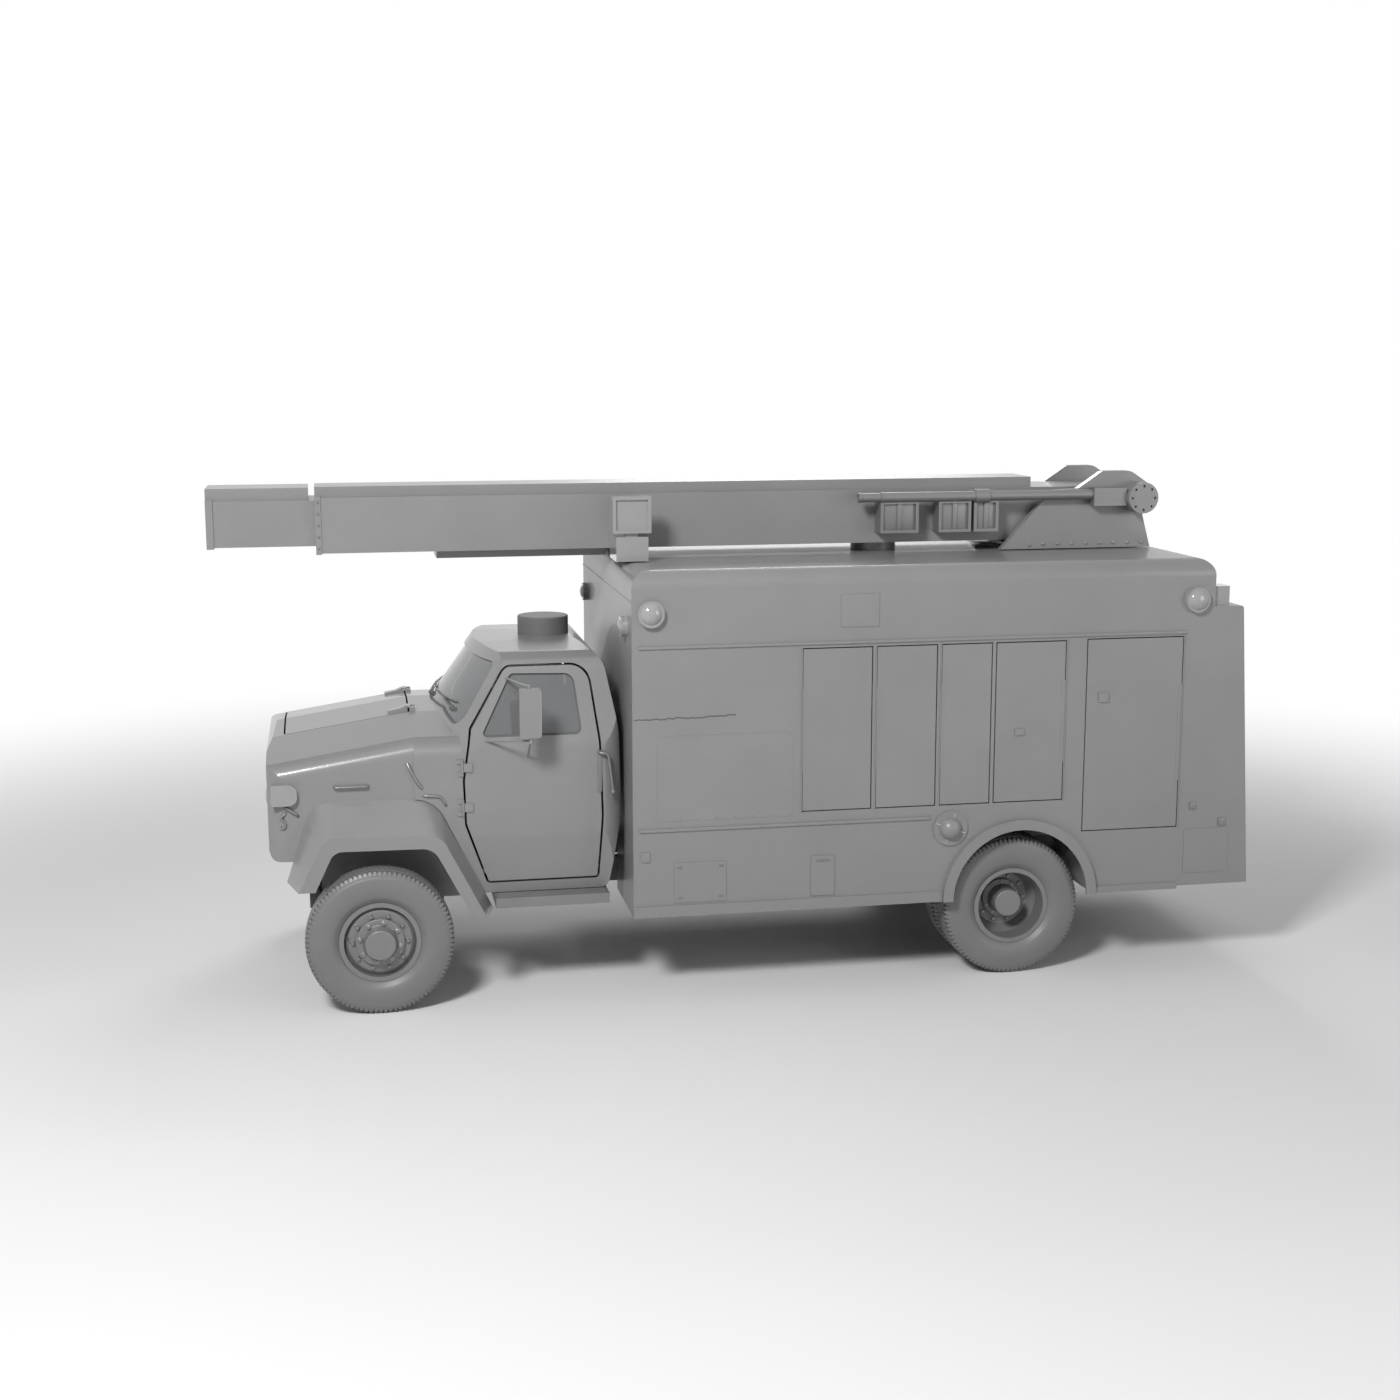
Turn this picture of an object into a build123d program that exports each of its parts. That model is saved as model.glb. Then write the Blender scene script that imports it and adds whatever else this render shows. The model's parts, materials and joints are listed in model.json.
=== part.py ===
from build123d import *
import os

# A boom truck: conventional cab, hollow service body, and a telescopic boom stowed forward over the cab.
# Millimetres. X points to the nose, Y to the truck's left and Z up. The origin is on the ground, below
# the middle of the overall length and width.

os.makedirs("parts", exist_ok=True)

# Clearances
SEAT_GAP = 0.3  # between a pin or shaft and its hole, and between pieces that turn on each other
DOOR_GAP = 8  # all round a door or lid
SWING_GAP = 8  # below what swings over the roof

# Overall lengths, from the front axle
BOOM_TIP_REACH = 1085
TAIL_REACH = 6291
WHEELBASE = 4508
FRONT_AXLE_X = (TAIL_REACH - BOOM_TIP_REACH) / 2
REAR_AXLE_X = FRONT_AXLE_X - WHEELBASE

# Wheels and tyres
TYRE_RADIUS = 505
TYRE_HALF_WIDTH = 129.5
TREAD_HALF_WIDTH = 98
TREAD_CROWN = 7
BEAD_RADIUS = 255
RIM_HALF_WIDTH = 95
RIM_THICKNESS = 10
FLANGE_RADIUS = 277
FLANGE_THICKNESS = 6
DISC_THICKNESS = 12
FRONT_WHEEL_Y = 1113.5
REAR_OUTER_WHEEL_Y = 1081.5
TWIN_SPACING = 301.5
DRUM_RADIUS = 205
DRUM_WALL = 14

# Axles, knuckles and springs
KINGPIN_Y = 1000
BEAM_DEPTH = 96
BEAM_WIDTH = 86
KINGPIN_BOSS_RADIUS = 45
KNUCKLE_HALF_HEIGHT = 88
KNUCKLE_PLATE = 28
SPINDLE_RADIUS = 35
SPINDLE_SHOULDER_Y = 1120
SPINDLE_END_Y = 1240
REAR_TUBE_RADIUS = 75
REAR_SPINDLE_RADIUS = 60
REAR_SHOULDER_Y = 800
REAR_SPINDLE_END_Y = 1098
BANJO_RADIUS = 190
BANJO_WIDTH = 240
SHAFT_RADIUS = 38
SPRING_Y = 505
SPRING_WIDTH = 70
LEAF_THICKNESS = 14

# Frame
RAIL_HALF_SPREAD = 430
RAIL_FLANGE = 70
RAIL_THICKNESS = 10
RAIL_BOTTOM = 640
RAIL_TOP = 820
RAIL_FRONT_REACH = 470
RAIL_REAR_REACH = 6120

# Cab and nose
CAB_WALL = 42
CAB_HALF_WIDTH = 1000
CAB_BOTTOM = 745
CAB_FLOOR_TOP = 905
CAB_FLOOR = 30
COWL_REACH = 268
NOSE_REACH = 735
NOSE_HALF_WIDTH = 985
NOSE_WALL = 24
NOSE_BOTTOM = 1040
HOOD_FALL = 0.155
HOOD_HALF_WIDTH = 450
GLASS_THICKNESS = 6
ROOF_BASE_REACH = 1270
ROOF_BASE_RADIUS = 185
ROOF_BASE_TOP = 2560
CAB_ROOF_Z = 2430

# Fenders
FENDER_FACE_Y = 1220
APRON_INNER_Y = 600
APRON_THICKNESS = 22

# Service body
BODY_FRONT_REACH = 1736
BODY_REAR_REACH = 5950
BODY_HALF_WIDTH = 1263
BODY_WALL = 40
SILL_Z = 590
CAP_BOTTOM = 2490
ROOF_Z = 3000
ROOF_ROUNDING = 120
FLOOR_BOTTOM = 940
FLOOR_TOP = 980
TAIL_SEAM_REACH = 5740
TAIL_LEDGE_REACH = 6171
TAIL_LEDGE_Z = 2660
DOOR_THICKNESS = 34
HINGE_RADIUS = 4
HINGE_OFFSET = 5  # of the hinge pin outside the panel
LEAF_WIDTH = 20
LEAF_PLATE = 2
ARCH_REACH = 4536
ARCH_INNER_RADIUS = 502
ARCH_OUTER_RADIUS = 575
ARCH_CUT_RADIUS = 553
ARCH_PROUD = 34

# Boom
BOOM_HALF_WIDTH = 300
BOOM_BOTTOM = 3070
BOOM_TOP = 3460
BOOM_WALL = 12
BOOM_MOUTH_REACH = 340
BOOM_RIDGE_TOP = 3530
BOOM_RIDGE_HALF_WIDTH = 205
BOOM_RIDGE_END_REACH = 4930
PIVOT_REACH = 5690
PIVOT_Z = 3383
PIVOT_SHAFT_RADIUS = 55
DRUM_CAP_RADIUS = 115
INNER_HALF_WIDTH = 250
INNER_BOTTOM = 3119
INNER_TOP = 3440
INNER_WALL = 10
INNER_REAR_REACH = 3950
CHEEK_INNER_Y = 335
CHEEK_THICKNESS = 65
SWING_REACH = 5230
RING_RADIUS = 300
RING_TOP = ROOF_Z + 15
TURRET_PLATE = 20
PIPE_Y = 450
PIPE_Z = 3410
PIPE_RADIUS = 37


def aft(distance):
    """X of a place this far behind the front axle."""
    return FRONT_AXLE_X - distance


def fore(distance):
    """X of a place this far ahead of the front axle."""
    return FRONT_AXLE_X + distance


def outline(corners):
    """Adds a closed outline to the sketch in hand, from corners of (across, up, rounding)."""
    with BuildLine() as border:
        FilletPolyline(
            *[(across, up) for across, up, _ in corners],
            radius=[rounding for _, _, rounding in corners],
            close=True,
        )
    make_face(border.edges())


def side_slab(corners, y_low, y_high, inset=0, mode=Mode.ADD):
    """Extrudes an outline in side view, of (x, z, rounding), from y_low to y_high."""
    with BuildSketch(Plane.XZ.offset(-y_high)) as view:
        outline(corners)
        if inset:
            offset(amount=-inset, kind=Kind.INTERSECTION, mode=Mode.REPLACE)
    extrude(view.sketch, amount=y_high - y_low, mode=mode)


def block(x_range, y_range, z_range, mode=Mode.ADD):
    """Adds a block between the limits given on each axis."""
    (x0, x1), (y0, y1), (z0, z1) = (sorted(limits) for limits in (x_range, y_range, z_range))
    with Locations(((x0 + x1) / 2, (y0 + y1) / 2, (z0 + z1) / 2)):
        Box(x1 - x0, y1 - y0, z1 - z0, mode=mode)


def rod(start, end, radius, mode=Mode.ADD):
    """Adds a round bar from one point to another."""
    run = Vector(*end) - Vector(*start)
    with BuildSketch(Plane(origin=start, z_dir=run)) as end_face:
        Circle(radius)
    extrude(end_face.sketch, amount=run.length, mode=mode)


def write(piece, name):
    """Names a finished piece and writes it."""
    piece.part.label = name
    export_step(piece.part, f"parts/{name}.step")


def write_mirrored(piece, name):
    """Writes the other side's copy of a finished piece."""
    with BuildPart() as other:
        mirror(piece.part, about=Plane.XZ)
    write(other, name)


def axle_plane(axle_x):
    """The plane through a wheel's axis, with Y across and Z up from the axis."""
    return Plane(origin=(axle_x, 0, TYRE_RADIUS), x_dir=(0, 1, 0), z_dir=(1, 0, 0))


def axle_axis(axle_x):
    """The axis that a wheel turns about."""
    return Axis((axle_x, 0, TYRE_RADIUS), (0, 1, 0))


# Frame rails: two channels with cross members between them
CROSS_MEMBER_REACHES = (-430, 950, 2300, 3500, 5350, 6080)
CROSS_MEMBER_LENGTH = 80
CROSS_MEMBER_DEPTH = 70
CROSS_MEMBER_Z = RAIL_TOP - RAIL_THICKNESS - CROSS_MEMBER_DEPTH / 2
RAIL_MIDDLE = (RAIL_TOP + RAIL_BOTTOM) / 2

with BuildPart() as frame_rails:
    with BuildSketch(Plane.YZ.offset(aft(RAIL_REAR_REACH))):
        for side in (1, -1):
            with Locations((side * (RAIL_HALF_SPREAD - RAIL_FLANGE / 2), RAIL_MIDDLE)):
                Rectangle(RAIL_FLANGE, RAIL_TOP - RAIL_BOTTOM)
            with Locations((side * (RAIL_HALF_SPREAD - RAIL_THICKNESS - RAIL_FLANGE / 2), RAIL_MIDDLE)):
                Rectangle(RAIL_FLANGE, RAIL_TOP - RAIL_BOTTOM - 2 * RAIL_THICKNESS, mode=Mode.SUBTRACT)
    extrude(amount=RAIL_REAR_REACH + RAIL_FRONT_REACH)
    for reach in CROSS_MEMBER_REACHES:
        with Locations((aft(reach), 0, CROSS_MEMBER_Z)):
            Box(CROSS_MEMBER_LENGTH, 2 * (RAIL_HALF_SPREAD - RAIL_THICKNESS), CROSS_MEMBER_DEPTH)
write(frame_rails, "frame_rails")

# Engine: one plain block on two mounts across the rails
ENGINE_HALF_WIDTH = 280
ENGINE_BOTTOM = 660
ENGINE_TOP = 1480
ENGINE_FRONT_REACH = 370
ENGINE_REAR_REACH = 225
ENGINE_MOUNT_HEIGHT = 60
ENGINE_MOUNT_LENGTH = 120

with BuildPart() as engine_block:
    block(
        (fore(ENGINE_FRONT_REACH), aft(ENGINE_REAR_REACH)),
        (-ENGINE_HALF_WIDTH, ENGINE_HALF_WIDTH),
        (ENGINE_BOTTOM, ENGINE_TOP),
    )
    chamfer(engine_block.edges().filter_by(Axis.X).group_by(Axis.Z)[-1], 90)
    with Locations((FRONT_AXLE_X + 200, 0, RAIL_TOP + ENGINE_MOUNT_HEIGHT / 2)):
        Box(ENGINE_MOUNT_LENGTH, 2 * RAIL_HALF_SPREAD, ENGINE_MOUNT_HEIGHT)
write(engine_block, "engine_block")

# Front axle: a beam that drops between its spring seats and ends in the kingpin bosses
BEAM_END_Y = KINGPIN_Y
BEAM_DROP = 40

with BuildPart() as front_axle:
    beam_middle = TYRE_RADIUS
    beam_points = [
        (-BEAM_END_Y, beam_middle - BEAM_DEPTH / 2, 0),
        (-800, beam_middle - BEAM_DEPTH / 2, 60),
        (-650, beam_middle - BEAM_DEPTH / 2 - BEAM_DROP, 60),
        (650, beam_middle - BEAM_DEPTH / 2 - BEAM_DROP, 60),
        (800, beam_middle - BEAM_DEPTH / 2, 60),
        (BEAM_END_Y, beam_middle - BEAM_DEPTH / 2, 0),
        (BEAM_END_Y, beam_middle + BEAM_DEPTH / 2, 0),
        (800, beam_middle + BEAM_DEPTH / 2, 60),
        (650, beam_middle + BEAM_DEPTH / 2 - BEAM_DROP, 60),
        (-650, beam_middle + BEAM_DEPTH / 2 - BEAM_DROP, 60),
        (-800, beam_middle + BEAM_DEPTH / 2, 60),
        (-BEAM_END_Y, beam_middle + BEAM_DEPTH / 2, 0),
    ]
    with BuildSketch(Plane.YZ.offset(FRONT_AXLE_X - BEAM_WIDTH / 2)):
        outline(beam_points)
    extrude(amount=BEAM_WIDTH)
    with Locations(*[(FRONT_AXLE_X, side * KINGPIN_Y, TYRE_RADIUS) for side in (1, -1)]):
        Cylinder(KINGPIN_BOSS_RADIUS, 2 * (KNUCKLE_HALF_HEIGHT - SEAT_GAP - KNUCKLE_PLATE))
write(front_axle, "front_axle")

# Steering knuckles: a fork over each kingpin boss, with the spindle that the wheel turns on
FORK_WEB_Y = KINGPIN_Y + KINGPIN_BOSS_RADIUS + 6
FORK_HALF_WIDTH = 46

with BuildPart() as knuckle_left:
    for low in (TYRE_RADIUS - KNUCKLE_HALF_HEIGHT, TYRE_RADIUS + KNUCKLE_HALF_HEIGHT - KNUCKLE_PLATE):
        with BuildSketch(Plane.XY.offset(low)):
            with Locations((FRONT_AXLE_X, KINGPIN_Y)):
                Circle(FORK_HALF_WIDTH)
            with Locations((FRONT_AXLE_X, (KINGPIN_Y + FORK_WEB_Y) / 2)):
                Rectangle(2 * FORK_HALF_WIDTH, FORK_WEB_Y - KINGPIN_Y)
        extrude(amount=KNUCKLE_PLATE)
    block(
        (FRONT_AXLE_X - FORK_HALF_WIDTH, FRONT_AXLE_X + FORK_HALF_WIDTH),
        (FORK_WEB_Y, FORK_WEB_Y + 30),
        (TYRE_RADIUS - KNUCKLE_HALF_HEIGHT, TYRE_RADIUS + KNUCKLE_HALF_HEIGHT),
    )
    rod(
        (FRONT_AXLE_X, FORK_WEB_Y + 30, TYRE_RADIUS),
        (FRONT_AXLE_X, SPINDLE_SHOULDER_Y, TYRE_RADIUS),
        KINGPIN_BOSS_RADIUS,
    )
    rod(
        (FRONT_AXLE_X, SPINDLE_SHOULDER_Y, TYRE_RADIUS),
        (FRONT_AXLE_X, SPINDLE_END_Y, TYRE_RADIUS),
        SPINDLE_RADIUS,
    )
write(knuckle_left, "knuckle_left")
write_mirrored(knuckle_left, "knuckle_right")

# Rear axle: banjo housing and tubes, with the propeller shaft fused to its nose
SHAFT_FRONT_REACH = ENGINE_REAR_REACH
SHAFT_FRONT_Z = 720
SHAFT_END_GAP = 4

with BuildPart() as rear_axle:
    with BuildSketch(axle_plane(REAR_AXLE_X)):
        outline(
            [
                (0, 0, 0),
                (0, BANJO_RADIUS, 0),
                (BANJO_WIDTH / 2, BANJO_RADIUS, 40),
                (BANJO_WIDTH / 2 + 130, REAR_TUBE_RADIUS, 40),
                (REAR_SHOULDER_Y - SEAT_GAP, REAR_TUBE_RADIUS, 0),
                (REAR_SHOULDER_Y - SEAT_GAP, REAR_SPINDLE_RADIUS, 0),
                (REAR_SPINDLE_END_Y, REAR_SPINDLE_RADIUS, 0),
                (REAR_SPINDLE_END_Y, 0, 0),
            ]
        )
    revolve(axis=axle_axis(REAR_AXLE_X))
    mirror(about=Plane.XZ)
    rod(
        (REAR_AXLE_X, 0, TYRE_RADIUS),
        (aft(SHAFT_FRONT_REACH) - SHAFT_END_GAP, 0, SHAFT_FRONT_Z),
        SHAFT_RADIUS,
    )
write(rear_axle, "rear_axle")

# Leaf springs: each a stack of bowed leaves between two hangers on the rail
# Columns: name, middle X, half length, seat height of the stack, bow
SPRINGS = [
    ("front", FRONT_AXLE_X, 400, TYRE_RADIUS + BEAM_DEPTH / 2 - BEAM_DROP, 70),
    ("rear", REAR_AXLE_X, 620, TYRE_RADIUS + REAR_TUBE_RADIUS, 50),
]
LEAF_SHARES = (0.55, 0.78, 1.0)
HANGER_LENGTH = 70

with BuildPart() as leaf_springs:
    for name, middle, half_length, seat, bow in SPRINGS:
        for side in (1, -1):
            y_low = side * SPRING_Y - SPRING_WIDTH / 2
            for step, share in enumerate(LEAF_SHARES):
                reach = share * half_length
                rise = bow * share * share
                low = seat + step * LEAF_THICKNESS
                with BuildSketch(Plane.XZ.offset(-(y_low + SPRING_WIDTH))):
                    with BuildLine():
                        ThreePointArc(
                            (middle - reach, low + rise), (middle, low), (middle + reach, low + rise)
                        )
                        Line((middle + reach, low + rise), (middle + reach, low + rise + LEAF_THICKNESS))
                        ThreePointArc(
                            (middle + reach, low + rise + LEAF_THICKNESS),
                            (middle, low + LEAF_THICKNESS),
                            (middle - reach, low + rise + LEAF_THICKNESS),
                        )
                        Line((middle - reach, low + rise + LEAF_THICKNESS), (middle - reach, low + rise))
                    make_face()
                extrude(amount=SPRING_WIDTH)
            for end in (1, -1):
                x_end = middle + end * half_length
                top = seat + bow + len(LEAF_SHARES) * LEAF_THICKNESS
                block(
                    (x_end, x_end + end * HANGER_LENGTH),
                    (side * RAIL_HALF_SPREAD, side * (SPRING_Y + SPRING_WIDTH / 2)),
                    (top - 3 * LEAF_THICKNESS, max(top, RAIL_BOTTOM + 70)),
                )
            block(
                (middle - 45, middle + 45),
                (y_low, y_low + SPRING_WIDTH),
                (seat, seat + len(LEAF_SHARES) * LEAF_THICKNESS + 20),
            )
write(leaf_springs, "leaf_springs")


def tyre_section(centre_y):
    """Adds one tyre's section, with Y across and the height from the wheel's axis."""
    bead = BEAD_RADIUS + SEAT_GAP
    bead_y = RIM_HALF_WIDTH - FLANGE_THICKNESS - SEAT_GAP
    shoulder = TYRE_RADIUS - TREAD_CROWN
    with BuildLine() as section:
        for side in (1, -1):
            Line((centre_y, bead), (centre_y + side * bead_y, bead))
            Line((centre_y + side * bead_y, bead), (centre_y + side * bead_y, FLANGE_RADIUS))
            ThreePointArc(
                (centre_y + side * bead_y, FLANGE_RADIUS),
                (centre_y + side * TYRE_HALF_WIDTH, 385),
                (centre_y + side * (TREAD_HALF_WIDTH + 14), shoulder - 22),
            )
            Line(
                (centre_y + side * (TREAD_HALF_WIDTH + 14), shoulder - 22),
                (centre_y + side * TREAD_HALF_WIDTH, shoulder),
            )
        ThreePointArc(
            (centre_y - TREAD_HALF_WIDTH, shoulder),
            (centre_y, TYRE_RADIUS),
            (centre_y + TREAD_HALF_WIDTH, shoulder),
        )
    make_face(section.edges())


def rim_section(centre_y):
    """Adds one rim's barrel and flanges in section."""
    with Locations((centre_y, BEAD_RADIUS - RIM_THICKNESS / 2)):
        Rectangle(2 * RIM_HALF_WIDTH, RIM_THICKNESS)
    for side in (1, -1):
        with Locations(
            (centre_y + side * (RIM_HALF_WIDTH - FLANGE_THICKNESS / 2), (BEAD_RADIUS + FLANGE_RADIUS) / 2)
        ):
            Rectangle(FLANGE_THICKNESS, FLANGE_RADIUS - BEAD_RADIUS)


# Front tyres and wheels: a shallow disc, a hub that stands proud of it, and the brake drum behind
FRONT_DISC_Y = FRONT_WHEEL_Y + 58
FRONT_HUB_FACE_Y = 1215
FRONT_CAP_Y = 1290

with BuildPart() as tyre_front_left:
    with BuildSketch(axle_plane(FRONT_AXLE_X)):
        tyre_section(FRONT_WHEEL_Y)
    revolve(axis=axle_axis(FRONT_AXLE_X))
write(tyre_front_left, "tyre_front_left")
write_mirrored(tyre_front_left, "tyre_front_right")

with BuildPart() as wheel_front_left:
    with BuildSketch(axle_plane(FRONT_AXLE_X)):
        rim_section(FRONT_WHEEL_Y)
        outline(
            [
                (FRONT_WHEEL_Y + 30, BEAD_RADIUS - RIM_THICKNESS / 2, 0),
                (FRONT_WHEEL_Y + 30 + DISC_THICKNESS, BEAD_RADIUS - RIM_THICKNESS / 2, 0),
                (FRONT_DISC_Y + DISC_THICKNESS, 214, 20),
                (FRONT_DISC_Y + DISC_THICKNESS, 100, 0),
                (FRONT_DISC_Y, 100, 0),
                (FRONT_DISC_Y, 210, 20),
            ]
        )
        outline(
            [
                (SPINDLE_SHOULDER_Y + SEAT_GAP, SPINDLE_RADIUS + SEAT_GAP, 0),
                (SPINDLE_SHOULDER_Y + SEAT_GAP, 110, 0),
                (FRONT_DISC_Y - 8, 120, 0),
                (FRONT_DISC_Y - 8, 160, 0),
                (FRONT_HUB_FACE_Y, 165, 6),
                (FRONT_HUB_FACE_Y, 120, 6),
                (SPINDLE_END_Y + 10, 110, 0),
                (FRONT_CAP_Y, 103, 10),
                (FRONT_CAP_Y, 0, 0),
                (SPINDLE_END_Y + SEAT_GAP, 0, 0),
                (SPINDLE_END_Y + SEAT_GAP, SPINDLE_RADIUS + SEAT_GAP, 0),
            ]
        )
        outline(
            [
                (1032, DRUM_RADIUS, 0),
                (1032, DRUM_RADIUS - DRUM_WALL, 0),
                (1140, DRUM_RADIUS - DRUM_WALL, 0),
                (1140, 100, 0),
                (1152, 100, 0),
                (1152, DRUM_RADIUS, 0),
            ]
        )
    revolve(axis=axle_axis(FRONT_AXLE_X))
write(wheel_front_left, "wheel_front_left")
write_mirrored(wheel_front_left, "wheel_front_right")

# Rear twin tyres and wheels: both discs dish to one flange, the hub and its cap standing out of the dish
REAR_FLANGE_Y = REAR_OUTER_WHEEL_Y - TWIN_SPACING / 2
REAR_INNER_WHEEL_Y = REAR_OUTER_WHEEL_Y - TWIN_SPACING
REAR_CAP_Y = 1120

with BuildPart() as tyres_rear_left:
    with BuildSketch(axle_plane(REAR_AXLE_X)):
        tyre_section(REAR_OUTER_WHEEL_Y)
        tyre_section(REAR_INNER_WHEEL_Y)
    revolve(axis=axle_axis(REAR_AXLE_X))
write(tyres_rear_left, "tyres_rear_left")
write_mirrored(tyres_rear_left, "tyres_rear_right")

with BuildPart() as wheels_rear_left:
    with BuildSketch(axle_plane(REAR_AXLE_X)):
        for centre_y, outward in ((REAR_OUTER_WHEEL_Y, 1), (REAR_INNER_WHEEL_Y, -1)):
            rim_section(centre_y)
            outline(
                [
                    (centre_y - outward * 62, BEAD_RADIUS - RIM_THICKNESS / 2, 0),
                    (centre_y - outward * (62 + DISC_THICKNESS), BEAD_RADIUS - RIM_THICKNESS / 2, 0),
                    (REAR_FLANGE_Y, 192, 12),
                    (REAR_FLANGE_Y, 90, 0),
                    (REAR_FLANGE_Y + outward * DISC_THICKNESS, 90, 0),
                    (REAR_FLANGE_Y + outward * DISC_THICKNESS, 197, 12),
                ]
            )
        outline(
            [
                (REAR_SHOULDER_Y, REAR_SPINDLE_RADIUS + SEAT_GAP, 0),
                (REAR_SHOULDER_Y, 100, 0),
                (REAR_FLANGE_Y + 10, 100, 0),
                (REAR_FLANGE_Y + 10, 142, 0),
                (REAR_FLANGE_Y + 42, 142, 6),
                (REAR_FLANGE_Y + 42, 104, 6),
                (REAR_CAP_Y, 98, 8),
                (REAR_CAP_Y, 0, 0),
                (REAR_SPINDLE_END_Y + SEAT_GAP, 0, 0),
                (REAR_SPINDLE_END_Y + SEAT_GAP, REAR_SPINDLE_RADIUS + SEAT_GAP, 0),
            ]
        )
        outline(
            [
                (700, DRUM_RADIUS, 0),
                (700, DRUM_RADIUS - DRUM_WALL, 0),
                (886, DRUM_RADIUS - DRUM_WALL, 0),
                (886, 90, 0),
                (898, 90, 0),
                (898, DRUM_RADIUS, 0),
            ]
        )
    revolve(axis=axle_axis(REAR_AXLE_X))
write(wheels_rear_left, "wheels_rear_left")
write_mirrored(wheels_rear_left, "wheels_rear_right")

# Fenders: an arched shell from the nose's side out to a flat face, with an apron inside the arch
# Columns of each outline: reach behind the front axle, height, rounding
FENDER_SEAM = [(-610, 900, 0), (-430, 1448, 190), (400, 1440, 230), (790, 640, 0)]
FENDER_FACE = [(-532, 878, 0), (-345, 1250, 110), (425, 1236, 150), (728, 640, 0)]
FENDER_ARCH = [(-420, 600, 0), (-420, 878, 0), (-290, 1152, 90), (375, 1145, 130), (655, 600, 0)]


def reached(corners):
    """Turns corners given by their reach behind the front axle into places."""
    return [(aft(reach), height, rounding) for reach, height, rounding in corners]


with BuildPart() as fender_left:
    for corners, y in ((FENDER_SEAM, NOSE_HALF_WIDTH), (FENDER_FACE, FENDER_FACE_Y)):
        with BuildSketch(Plane.XZ.offset(-y)):
            outline(reached(corners))
    loft()
    side_slab(reached(FENDER_ARCH), APRON_INNER_Y, NOSE_HALF_WIDTH, inset=-APRON_THICKNESS)
    side_slab(reached(FENDER_ARCH), APRON_INNER_Y - 10, FENDER_FACE_Y + 10, mode=Mode.SUBTRACT)
    side_slab(reached(FENDER_ARCH), APRON_INNER_Y, APRON_INNER_Y + APRON_THICKNESS)
    block((aft(900), fore(900)), (0, 2 * FENDER_FACE_Y), (0, 640), mode=Mode.SUBTRACT)
    block((fore(380), fore(900)), (0, 2 * FENDER_FACE_Y), (0, 878), mode=Mode.SUBTRACT)
write(fender_left, "fender_left")
write_mirrored(fender_left, "fender_right")

# Cab and nose forms, each the meeting of a front view, a side view and, on the cab, a swept windscreen
# Columns: half width, height, rounding
NOSE_SECTION = [(985, 900, 0), (985, 1800, 90), (890, 1850, 90), (HOOD_HALF_WIDTH, 1955, 60)]
NOSE_CROWN_Z = 1990
# Columns: reach behind the front axle, height, rounding
NOSE_PROFILE = [
    (COWL_REACH, NOSE_BOTTOM, 0),
    (-640, NOSE_BOTTOM, 0),
    (-700, NOSE_BOTTOM, 60),
    (-NOSE_REACH, 1140, 90),
    (-NOSE_REACH, 1730, 120),
    (-640, 1880, 60),
    (COWL_REACH, 2080, 0),
]
NOSE_CORNER_ROUNDING = 140
# Columns: half width, height, rounding
CAB_SECTION = [(960, CAB_BOTTOM, 0), (1000, 1150, 300), (1000, 1790, 260), (838, 2340, 110)]
CAB_ROOF_EDGE = (700, 2400, 120)
# Columns: reach behind the front axle, height, rounding
CAB_PROFILE = [
    (COWL_REACH, CAB_BOTTOM, 0),
    (1600, CAB_BOTTOM, 60),
    (1712, 1300, 700),
    (1690, 1850, 700),
    (1580, CAB_ROOF_Z, 190),
    (COWL_REACH, CAB_ROOF_Z - 16, 0),
]
# The cowl, ahead of the windscreen. Columns: half width, height, rounding
COWL_SECTION = [(CAB_HALF_WIDTH, 1200, 0), (CAB_HALF_WIDTH, 1790, 90), (890, 1850, 90), (HOOD_HALF_WIDTH, 1955, 60)]
COWL_CROWN_Z = 1990
COWL_REAR_REACH = 750
WINDSCREEN_SWEEP = 320  # how far the windscreen's sides lie behind its middle
WINDSCREEN_BASE_REACH = 432
WINDSCREEN_BASE_Z = 1985
WINDSCREEN_TOP_REACH = 752
WINDSCREEN_TOP_Z = CAB_ROOF_Z - 8
CAB_CORNER_ROUNDING = 150


def front_section(half, crown):
    """A front view closed about the centre line, from one side's corners of (half width, height, rounding)."""
    return half + [(0, crown, 0)] + [(-across, up, rounding) for across, up, rounding in reversed(half)]


def nose_form(inset):
    """The nose and hood as one solid, drawn in by the inset."""
    length = COWL_REACH + NOSE_REACH
    with BuildPart() as form:
        with BuildSketch(Plane.YZ.offset(aft(COWL_REACH))):
            outline(front_section(NOSE_SECTION, NOSE_CROWN_Z))
            if inset:
                offset(amount=-inset, kind=Kind.INTERSECTION, mode=Mode.REPLACE)
        extrude(amount=length, dir=(1, 0, -HOOD_FALL))
        side_slab(
            reached(NOSE_PROFILE), -CAB_HALF_WIDTH, CAB_HALF_WIDTH, inset=inset, mode=Mode.INTERSECT
        )
        with BuildSketch(Plane.XY):
            with Locations((aft(COWL_REACH) + length / 2 - 400, 0)):
                RectangleRounded(
                    length + 800 - 2 * inset, 2 * (NOSE_HALF_WIDTH - inset), NOSE_CORNER_ROUNDING - inset
                )
        extrude(amount=2 * NOSE_CROWN_Z, mode=Mode.INTERSECT)
    return form.part


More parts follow.
